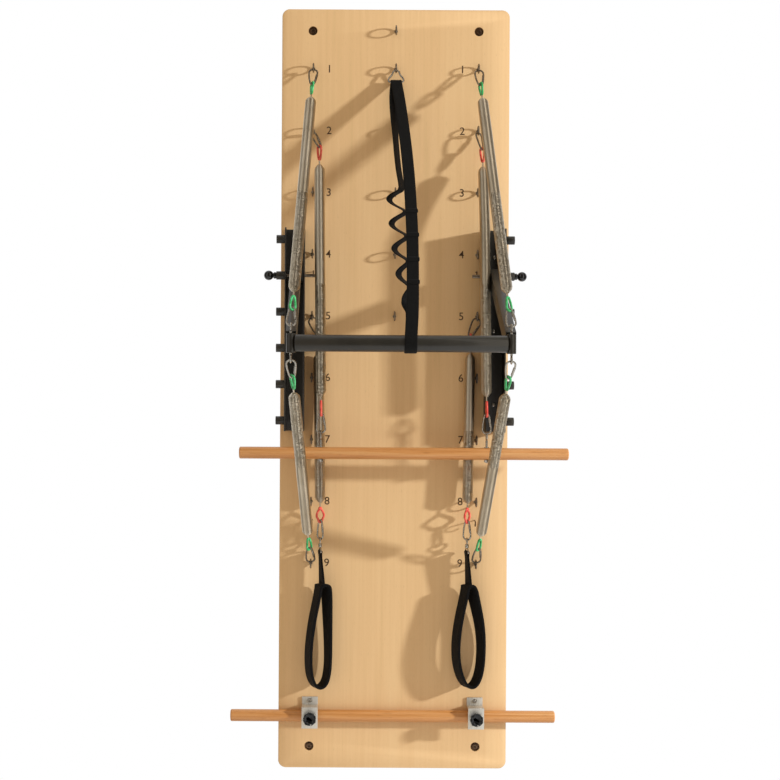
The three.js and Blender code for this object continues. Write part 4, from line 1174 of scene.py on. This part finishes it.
# Hand loops. Each is a tongue of black nylon webbing sewn round the swivel's bail, which leans
# and turns on its way down to a wide padded loop that hangs open. The two loops have worn
# outlines of their own, given in shares of their length.
swivel_ring_radius = 0.008
swivel_barrel_radius = 0.005
swivel_barrel_length = 0.010
swivel_barrel_round = 0.001
weld_bite = 0.0004
bail_wire_radius = 0.002
bail_width = 0.030
bail_height = 0.012
bail_corner_inset = 0.002
webbing_thickness = 0.003
woven_share = 0.9
webbing_columns = 7
handle_webbing_width = 0.025
handle_tongue_length = 0.082
handle_tongue_shares = (0.1, 0.2, 0.4, 0.6, 0.8, 1)
handle_tongue_lean = 0.006
handle_tongue_turn = math.radians(24)
handle_sewn_length = 0.010
handle_loop_length = 0.268
handle_outline_scales = (0.95, 1.02)
handle_band_width = 0.040
handle_band_thickness = 0.008
handle_lean_out = 0.003
handle_turn = math.radians(10)
handle_limb_turn = math.radians(16)
handle_fold_turn = math.radians(22)
handle_fold_share = 0.6
handle_outline = {
    "left": (
        (0.0, 0.0), (-0.012, -0.01), (-0.02, -0.06), (-0.035, -0.15), (-0.066, -0.28),
        (-0.092, -0.42), (-0.113, -0.58), (-0.12, -0.74), (-0.105, -0.89), (-0.055, -0.975),
        (-0.01, -0.99), (0.05, -0.955), (0.08, -0.85), (0.089, -0.7), (0.085, -0.5),
        (0.08, -0.32), (0.075, -0.16), (0.068, -0.05), (0.055, -0.005),
    ),
    "right": (
        (0.0, 0.0), (-0.01, -0.01), (-0.02, -0.06), (-0.035, -0.14), (-0.069, -0.27),
        (-0.095, -0.4), (-0.115, -0.56), (-0.112, -0.7), (-0.09, -0.82), (-0.045, -0.93),
        (0.02, -0.985), (0.085, -0.955), (0.13, -0.86), (0.15, -0.74), (0.157, -0.58),
        (0.145, -0.42), (0.115, -0.27), (0.08, -0.14), (0.06, -0.05), (0.035, -0.005),
    ),
}
swivel_ring_z = -swivel_ring_radius
barrel_z = swivel_ring_z - swivel_ring_radius - swivel_barrel_length / 2
bail_top_z = barrel_z - swivel_barrel_length / 2 + weld_bite
bail_bottom_z = bail_top_z - bail_height
thread_spacing = 0.0018
wave_node_factor = 20

# Nylon webbing: near black, woven in close ribs across its width that catch a soft sheen.
# The ribs are drawn 1.8 mm apart, coarser than the real ones, so that they show.
webbing, tree = new_material(
    "black_nylon_webbing", Roughness=0.72, Specular_IOR_Level=0.2, Sheen_Weight=0.03,
    Sheen_Roughness=0.4,
)
threads = {
    "Vector": add(tree, "ShaderNodeUVMap").outputs["UV"],
    "Scale": 2 * math.pi / (wave_node_factor * thread_spacing),
    "Distortion": 0.6,
    "Detail": 1,
}
warp, weft = (
    add(tree, "ShaderNodeTexWave", threads, bands_direction=axis).outputs["Fac"] for axis in "XY"
)
weave = calculate(tree, "MULTIPLY", warp, weft)
surface(
    webbing,
    Base_Color=ramp(tree, weave, (0.0, "#070606"), (0.5, "#0e0d0b"), (1.0, "#191813")),
    Normal=bump(tree, weave, 0.5, 0.0006),
)


def webbing_band(path, width, thickness, closed, rounds=1):
    """A flat band along (point, across) steps. Its map is in metres, along and across it."""
    columns = webbing_columns
    shares = [i / (columns - 1) - 0.5 for i in range(columns)]
    points, faces, maps = [], [], []
    lengths = [0.0]
    steps = path + path[:1] if closed else path
    for (a, _), (b, _) in zip(steps, steps[1:]):
        lengths.append(lengths[-1] + (b - a).length)
    for point, across in path:
        points += [tuple(point + across.normalized() * width * share) for share in shares]
    count = len(path)
    for i in range(count if closed else count - 1):
        near, far = i * columns, (i + 1) % count * columns
        for k in range(columns - 1):
            faces.append((near + k, near + k + 1, far + k + 1, far + k))
            low, high = shares[k] * width, shares[k + 1] * width
            start, end = lengths[i], lengths[i + 1]
            maps += [(start, low), (start, high), (end, high), (end, low)]
    mesh = bpy.data.meshes.new("band")
    mesh.from_pydata(points, [], faces)
    layer = mesh.uv_layers.new(name="UVMap")
    for loop, value in zip(layer.data, maps):
        loop.uv = value
    piece = link_new("band", mesh)
    modify(piece, "SOLIDIFY", thickness=thickness, offset=0)
    modify(piece, "SUBSURF", levels=rounds, render_levels=rounds)
    bpy.ops.object.shade_smooth()
    return piece


def turned(angle):
    """A level direction at an angle from X towards Y."""
    return Vector((math.cos(angle), math.sin(angle), 0))


def make_hand_loop(name):
    """The tongue and the padded band, hung from the bail. The band is folded at its top."""
    wrap_radius = bail_wire_radius + seat_gap + webbing_thickness / 2
    tongue_top = bail_bottom_z - wrap_radius
    half = webbing_thickness / 2

    def tongue_step(x, share):
        """A point down the tongue, which leans and turns as it goes."""
        reach = (handle_tongue_length + handle_sewn_length) * share
        point = Vector((x + handle_tongue_lean * share, 0, tongue_top - reach))
        return point, turned(math.pi / 2 + handle_tongue_turn * share)

    path = [tongue_step(half, share) for share in handle_tongue_shares[::-1]]
    wrap = arc(0, bail_bottom_z, wrap_radius, -40, 220, 9)
    path += [(point, Vector((0, 1, 0))) for point in wrap]
    path += [tongue_step(-half, share) for share in handle_tongue_shares]
    tongue = webbing_band(path, handle_webbing_width, webbing_thickness * woven_share, False)
    path = []
    x_scale, z_scale = handle_outline_scales
    for x, z in handle_outline[name]:
        folded = max(0, 1 + z / handle_fold_share) if x >= 0 else 0
        point = Vector((x * x_scale, 0, z * z_scale)) * handle_loop_length
        point += Vector((0, handle_lean_out * z, tongue_top - handle_tongue_length))
        across = turned(math.pi / 2 + handle_limb_turn + handle_fold_turn * folded)
        path.append((point, across))
    return tongue, webbing_band(path, handle_band_width, handle_band_thickness, True, rounds=2)


for name, side in sides.items():
    bearing = swivel_bearing[name]
    body, node = f"hand_loop_{name}", f"handle_{name}"
    turn = Matrix.Rotation(handle_turn, 4, "Z")
    tongue, band = make_hand_loop(name)
    for piece, title in ((tongue, "tongue"), (band, "pad")):
        piece.data.transform(Matrix.Translation(bearing) @ turn)
        settle(piece, f"hand_loop_{title}_{name}", webbing, body, "webbing", node)
    swivel = ring(swivel_ring_radius, eye_wire_radius, (0, 0, swivel_ring_z))
    barrel = cylinder(swivel_barrel_radius, swivel_barrel_length, (0, 0, barrel_z), "Z", 28)
    round_edges(barrel, swivel_barrel_round)
    low_half, waist_half = bail_width / 2, bail_width / 2 - bail_corner_inset
    waist_z = (bail_top_z + bail_bottom_z) / 2
    corners = (
        (-low_half, bail_bottom_z),
        (0, bail_bottom_z),
        (low_half, bail_bottom_z),
        (waist_half, waist_z),
        (0, bail_top_z - bail_wire_radius / 2),
        (-waist_half, waist_z),
    )
    bail = bent_wire([Vector((0, y, z)) for y, z in corners], bail_wire_radius, closed=True)
    for piece in (barrel, bail):
        piece.data.transform(turn)
    swivel = joined(swivel, barrel, bail)
    swivel.data.transform(Matrix.Translation(bearing))
    settle(swivel, f"handle_swivel_{name}", zinc, body, "zinc", f"swivel_hook_{name}")


# Safety strap. One long loop of black nylon webbing holds the crossbar up from the first middle
# eye. Its front run lies flat and bows to the right. Its back run is turned half edge-on and
# sewn into pockets that bulge to the left, with a bar of stitched webbing at each seam.
strap_width = 0.030
strap_thickness = 0.003
strap_bar_x = 0.022
strap_ring_wire_radius = 0.0025
strap_ring_height = 0.030
strap_ring_width = 0.040
strap_ring_top_radius = 0.010
strap_ring_corner_radius = 0.005
strap_bulge_sizes = (0.043, 0.040, 0.036, 0.029, 0.017)
strap_bulge_shares = (0.42, 0.88)
strap_bulge_power = 1.3
strap_pocket_steps = 12
strap_pocket_turn = math.radians(58)
strap_pocket_shift = 0.010
strap_back_steps = 8
strap_back_shift = -0.010
strap_front_shifts = (
    0.007, 0.011, 0.015, 0.0175, 0.019, 0.019, 0.0185, 0.017, 0.014, 0.011, 0.007
)
strap_sewn_shares = (0.54, 0.65, 0.76, 0.86)
strap_sewn_overhang = 0.002
strap_ring_seat = strap_ring_top_radius - strap_ring_wire_radius - seat_gap - eye_wire_radius
strap_ring_top_z = row_z(0) - eye_ring_radius - strap_ring_seat
strap_rail_z = strap_ring_top_z + strap_ring_top_radius - strap_ring_height

half = strap_ring_width / 2 - strap_ring_corner_radius
corner_z = strap_rail_z + strap_ring_corner_radius
outline = arc(0, strap_ring_top_z, strap_ring_top_radius, 0, 180, 5)
outline += arc(-half, corner_z, strap_ring_corner_radius, 180, 270, 3)
outline += arc(half, corner_z, strap_ring_corner_radius, 270, 360, 3)
strap_ring = bent_wire(outline, strap_ring_wire_radius, closed=True)
strap_ring.data.transform(Matrix.Translation((0, eye_y, 0)))
settle(strap_ring, "bright_strap_ring", zinc, "tower", "zinc", "strap_ring")

level_across = Vector((1, 0, 0))
strap_rail = Vector((0, eye_y, strap_rail_z))
strap_bar = Vector((strap_bar_x, bar_y, bar_z))
strap_fall = (strap_bar - strap_rail).normalized()
strap_front = Vector((0, strap_fall.z, -strap_fall.y)).normalized()


def wrap_strap(middle, radius, start, stop, steps):
    """Steps of the strap round a bar, between two angles in degrees."""
    level = Vector((0, strap_fall.y, strap_fall.z))
    wrap = []
    for i in range(steps + 1):
        angle = math.radians(start + (stop - start) * i / steps)
        point = middle + strap_front * radius * math.cos(angle) + level * radius * math.sin(angle)
        wrap.append((point, level_across))
    return wrap


def strap_path():
    """Over the ring's rail, down in front, under the crossbar and back up through the pockets."""
    ring_wrap = strap_ring_wire_radius + seat_gap + strap_thickness / 2
    bar_wrap = crossbar_radius + 2 * seat_gap + strap_thickness / 2
    path = wrap_strap(strap_rail, ring_wrap, -180, 0, 8)
    top_front, bar_front = path[-1][0], strap_bar + strap_front * bar_wrap
    front_run = []
    for step, shift in enumerate(strap_front_shifts, 1):
        share = step / (len(strap_front_shifts) + 1)
        front_run.append(top_front.lerp(bar_front, share) + level_across * shift)
    path += [(point, level_across) for point in front_run]
    path += wrap_strap(strap_bar, bar_wrap, 0, 180, 16)
    back_start, back_end = path[-1][0], path[0][0]
    count = len(strap_bulge_sizes)
    first, last = strap_bulge_shares
    pocket_share = (last - first) / count
    for pocket in reversed(range(count)):
        for step in range(strap_pocket_steps):
            local = step / strap_pocket_steps
            point = back_end.lerp(back_start, first + (pocket + 1 - local) * pocket_share)
            bulge = strap_bulge_sizes[pocket] * math.sin(math.pi * local) ** strap_bulge_power
            point.x += strap_pocket_shift - bulge
            facing = min(1, 2 * local) if pocket == count - 1 else 1
            path.append((point, turned(strap_pocket_turn * facing)))
    pockets_end = path[-1][0]
    for step in range(1, strap_back_steps):
        share = step / strap_back_steps
        point = pockets_end.lerp(back_end, share)
        point.x += strap_back_shift * math.sqrt(math.sin(math.pi * share))
        path.append((point, turned(strap_pocket_turn * min(1, 2 * (1 - share)))))
    return path, front_run


path, front_run = strap_path()
sewn = []
for share in strap_sewn_shares:
    lower, part = divmod(share * (len(front_run) - 1), 1)
    above, below = front_run[int(lower)], front_run[int(lower) + 1]
    middle = above.lerp(below, part) + strap_front * strap_thickness / 2
    middle.x += strap_sewn_overhang / 2
    run = (below - above).normalized() * strap_width / 4
    steps = [(middle + run * end, level_across) for end in (-1, 0, 1)]
    sewn.append(webbing_band(steps, strap_width + strap_sewn_overhang, strap_thickness / 2, False))
strap = joined(*sewn, webbing_band(path, strap_width, strap_thickness * woven_share, True))
settle(strap, "webbing_safety_strap", webbing, None, "webbing", "safety_strap")
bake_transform(strap)


# Cup hooks. Four small bronzed hooks screwed in beside the side columns, below the fourth row
# and below the eighth, on which idle hooks hang.
cup_hook_z = (0.308, -0.346)
cup_hook_x = 0.214
cup_hook_radius = 0.0065
cup_hook_wire_radius = 0.0016
cup_hook_reach = 0.014
cup_hook_turn = 240
cup_hook_steps = 6

cup_hooks = []
for side in sides.values():
    for z in cup_hook_z:
        x = side * cup_hook_x
        points = [Vector((x, board_face, z)), Vector((x, board_face - cup_hook_reach, z))]
        for i in range(cup_hook_steps + 1):
            angle = math.radians(90 + cup_hook_turn / cup_hook_steps * i)
            out = cup_hook_reach + cup_hook_radius * (1 - math.cos(angle))
            drop = cup_hook_radius - cup_hook_radius * math.sin(angle)
            points.append(Vector((x, board_face - out, z - drop)))
        cup_hooks.append(bent_wire(points, cup_hook_wire_radius))
settle(joined(*cup_hooks), "cup_hooks", bronzed, "tower", "zinc")


# Studio. A pale floor below the tower, a world that is white to the camera and in reflections
# and a warm fill to all else, and one cool lamp far out on the right, whose light grazes the
# board. Five tall cards round the front, seen in reflections alone, streak the metal.
camera_distance = 3.6
camera_x = -0.147
camera_z = -0.004
camera_shift_x = 0.0663
camera_clip = (0.1, 50)
focal_length_mm = 63.0
sensor_width_mm = 36.0
view_roll = math.radians(0.33)
floor_z = -1.25
floor_size = (3.6, 3.2)
floor_behind = 0.6
lamp_place = (8.6, -3.0, 2.0)
lamp_size = 0.5
lamp_watts = 1450
fill_strength = 0.6
card_distance = 4.6
card_height = 30.0
card_spans = (
    (-110, -60, "#c8bfb0", 0.35),
    (-36, -12, "#c8b8a0", 0.6),
    (-12, 22, "#a08c74", 0.12),
    (24, 42, "#f4ede2", 1.9),
    (44, 110, "#b8a890", 0.3),
)

# Pale painted floor with a faint mottle.
floor_paint = mottled(
    "pale_floor_paint", 3, (0.3, "#ececea"), (0.7, "#f4f4f2"), detail=4, Roughness=0.8
)
floor_middle = (0, floor_behind - floor_size[1] / 2, floor_z)
bpy.ops.mesh.primitive_plane_add(size=1, location=floor_middle)
floor = bpy.context.object
floor.scale = (*floor_size, 1)
floor.name = "floor"
floor.data.materials.append(floor_paint)

world = bpy.data.worlds.new("studio")
bpy.context.scene.world = world
world.use_nodes = True
tree = world.node_tree
tree.nodes.clear()
rays = add(tree, "ShaderNodeLightPath").outputs
seen = calculate(tree, "MAXIMUM", rays["Is Camera Ray"], rays["Is Transmission Ray"])
shown = calculate(tree, "MAXIMUM", seen, rays["Is Glossy Ray"])
white = add(tree, "ShaderNodeBackground", {"Color": (1, 1, 1, 1), "Strength": 1})
fill = add(tree, "ShaderNodeBackground", {"Color": linear("#fff5e4"), "Strength": fill_strength})
shades = {0: shown, 1: fill.outputs["Background"], 2: white.outputs["Background"]}
light = add(tree, "ShaderNodeMixShader", shades).outputs["Shader"]
add(tree, "ShaderNodeOutputWorld", {"Surface": light})

lamp_data = bpy.data.lights.new("key_lamp", "AREA")
lamp_data.shape = "DISK"
lamp_data.size = lamp_size
lamp_data.energy = lamp_watts
lamp_data.color = linear("#dcebff")[:3]
lamp = link_new("key_lamp", lamp_data)
lamp.location = lamp_place
lamp.visible_glossy = False
lamp.rotation_euler = (-Vector(lamp_place)).to_track_quat("-Z", "Y").to_euler()

# Reflection cards: plain painted boards whose tone is given as light of their own.
for index, (*angles, code, strength) in enumerate(card_spans):
    start, stop = (turned(math.radians(angle - 90)) * card_distance for angle in angles)
    rise = Vector((0, 0, card_height / 2))
    mesh = bpy.data.meshes.new("card")
    mesh.from_pydata([start - rise, stop - rise, stop + rise, start + rise], [], [(0, 1, 2, 3)])
    card = link_new(f"card_{index}", mesh)
    black = (0, 0, 0, 1)
    glow = {"Emission_Color": linear(code), "Emission_Strength": strength}
    card_paint, _ = new_material(f"card_paint_{index}", Roughness=1, Base_Color=black, **glow)
    card.data.materials.append(card_paint)
    card.visible_camera = card.visible_diffuse = card.visible_shadow = False
    card.visible_transmission = card.visible_volume_scatter = False

camera_data = bpy.data.cameras.new("camera")
camera_data.lens = focal_length_mm
camera_data.sensor_width = sensor_width_mm
camera_data.shift_x = camera_shift_x
camera_data.clip_start, camera_data.clip_end = camera_clip
camera = link_new("camera", camera_data)
camera.location = (camera_x, board_face - camera_distance, camera_z)
camera.rotation_euler = (math.pi / 2, -view_roll, 0)
bpy.context.scene.camera = camera
bpy.context.scene.view_settings.view_transform = "Standard"
